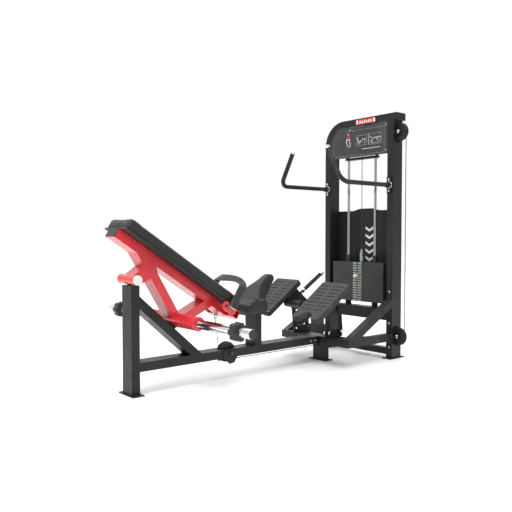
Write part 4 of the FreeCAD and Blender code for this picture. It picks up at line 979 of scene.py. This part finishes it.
def stack_labels():
    """Two columns of number labels, tinted by thirds of the stack, and rimmed pin holes whose dark discs
    are painted shade in place of real holes.
    """
    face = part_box("lifted_plates")[0].x
    low, pitch, plates, lifted = 376 * MM, 17.8 * MM, 16, 6
    pin_high = (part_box("selector_pin")[0].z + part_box("selector_pin")[1].z) / 2
    stickers = [printed(f"label_tint_{count + 1}", tint, 0.45) for count, tint in enumerate(TINTS)]
    pale = printed("label_white", (0.50, 0.51, 0.49), 0.45)
    ink = printed("label_ink", (0.03, 0.03, 0.03), 0.45)
    for body, first, last in (("frame", 0, plates - lifted), ("weight_stack", plates - lifted, plates)):
        numbers, rims, hole_shades = bmesh.new(), bmesh.new(), bmesh.new()
        whites = []
        tinted = {0: [], 1: [], 2: []}
        for count in range(first, last):
            middle = low + pitch * count + 8.6 * MM
            from_top = plates - count
            foot = middle / MM - LABEL_HIGH / 2
            whites += [block(33, foot, 23, LABEL_HIGH), block(-10, foot, 23, LABEL_HIGH)]
            third = min(2, (from_top - 1) * 3 // plates)
            tinted[third] += [block(40, foot, 7, LABEL_HIGH), block(-33, foot, 7, LABEL_HIGH)]
            for number, y in ((5 * from_top, 21.5 * MM), (11 * from_top, -21.5 * MM)):
                text_faces(numbers, str(number), y, middle, 7.5 * MM, face - 0.55 * MM)
            if abs(middle - pin_high) > 4 * MM:
                plate_hole(rims, hole_shades, face, middle)
        marks(f"label_whites_{body}", face, whites, body, "white_plastic", pale)
        for third, outlines in tinted.items():
            if outlines:
                name = f"label_tints_{third + 1}_{body}"
                marks(name, face, outlines, body, "white_plastic", stickers[third])
        for name, shape, slot, look in ((f"label_numbers_{body}", numbers, "black_plastic", ink),
                                        (f"pin_hole_rims_{body}", rims, "steel", None),
                                        (f"pin_hole_shades_{body}", hole_shades, "rubber", None)):
            mesh = bpy.data.meshes.new(name)
            bmesh.ops.recalc_face_normals(shape, faces=shape.faces)
            shape.to_mesh(mesh)
            shape.free()
            piece(name, mesh, body, slot, look)


def plate_hole(rims, hole_shades, face, middle):
    """A thin raised rim round a dark disc of painted shade that stands in for the hole, where the pin can
    go in.
    """
    around, inner, outer, proud = 20, 5.0 * MM, 6.6 * MM, 0.5 * MM
    rows = [[rims.verts.new((face - out, y, z)) for y, z in ring_points((0, middle), radius, around)]
            for radius, out in ((outer, 0.0), (outer, proud), (inner, proud), (inner, 0.1 * MM))]
    skin(rims, rows, capped=False)
    # flat dark disc just in front of the face: painted shade in place of the depth of a real hole
    hole_shades.faces.new([hole_shades.verts.new((face - 0.15 * MM, y, z))
                     for y, z in ring_points((0, middle), inner, around)])


back_cushion()
saddle()
hip_belt()
bench_cable()
stack_cable()
handle_rings()
arm_web()
header_marks()
panel_marks()
guard_marks()
stack_labels()


# ---------------------------------------------------------------- floor, light and camera
BACK_ROOM, CEILING_GLOW = 0.3, 0.9
ROOM_FACING = (0.645, 0.764, 0.0)
LAMPS = (("key_light", (-2.8, -0.9, 2.9), 1.6, 95), ("fill_light", (-0.6, -4.2, 0.9), 2.8, 12),
         ("top_light", (0.6, 0.4, 3.4), 3.0, 40), ("rim_light", (2.6, 2.2, 1.8), 2.0, 30))
CAMERA_SPOT, CAMERA_LENS, CAMERA_SENSOR = (-1.6274, -2.9649, 0.8661), 43.634, 36
CAMERA_YAW, CAMERA_DIP = math.radians(49.7963), math.radians(2.064)


def eased(tree, source, low, high, to_low, to_high):
    fade = tree.nodes.new("ShaderNodeMapRange")
    fade.interpolation_type = "SMOOTHSTEP"
    set_range(fade, low, high, to_low, to_high)
    tree.links.new(source, fade.inputs["Value"])
    return fade.outputs["Result"]


def stage_and_camera():
    scene = bpy.context.scene
    low, high = CAD_BOX
    mesh = bpy.data.meshes.new("floor")
    shape = bmesh.new()
    bmesh.ops.create_grid(shape, x_segments=8, y_segments=8, size=9)
    shape.to_mesh(mesh)
    shape.free()
    ground = bpy.data.objects.new("floor", mesh)
    scene.collection.objects.link(ground)
    ground.location = (0.9, 0, low.z - 0.0005)
    ground.data.materials.append(floor_look())

    world = bpy.data.worlds.new("studio")
    scene.world = world
    world.use_nodes = True
    tree = world.node_tree
    direction = tree.nodes.new("ShaderNodeTexCoord").outputs["Generated"]
    facing = tree.nodes.new("ShaderNodeVectorMath")
    facing.operation = "DOT_PRODUCT"
    facing.inputs[1].default_value = ROOM_FACING
    tree.links.new(direction, facing.inputs[0])
    height = tree.nodes.new("ShaderNodeSeparateXYZ")
    tree.links.new(direction, height.inputs[0])
    total = tree.nodes.new("ShaderNodeMath")
    tree.links.new(eased(tree, facing.outputs["Value"], -0.35, 0.55, BACK_ROOM, 1.0), total.inputs[0])
    tree.links.new(eased(tree, height.outputs["Z"], 0.35, 0.85, 0.0, CEILING_GLOW), total.inputs[1])
    tree.links.new(total.outputs["Value"], tree.nodes["Background"].inputs["Color"])
    scene.view_settings.view_transform = "Standard"

    middle = (low + high) / 2
    for name, offset, size, power in LAMPS:
        lamp = bpy.data.lights.new(name, "AREA")
        lamp.shape = "SQUARE"
        lamp.size = size
        lamp.energy = power
        holder = bpy.data.objects.new(name, lamp)
        scene.collection.objects.link(holder)
        holder.location = middle + Vector(offset)
        holder.rotation_euler = (middle - holder.location).to_track_quat("-Z", "Y").to_euler()

    camera = bpy.data.cameras.new("camera")
    camera.lens = CAMERA_LENS
    camera.sensor_width = CAMERA_SENSOR
    holder = bpy.data.objects.new("camera", camera)
    scene.collection.objects.link(holder)
    level = math.cos(CAMERA_DIP)
    ahead = Vector((math.cos(CAMERA_YAW) * level, math.sin(CAMERA_YAW) * level, -math.sin(CAMERA_DIP)))
    holder.location = CAMERA_SPOT
    holder.rotation_euler = ahead.to_track_quat("-Z", "Y").to_euler()
    scene.camera = holder


stage_and_camera()
bpy.context.view_layer.update()
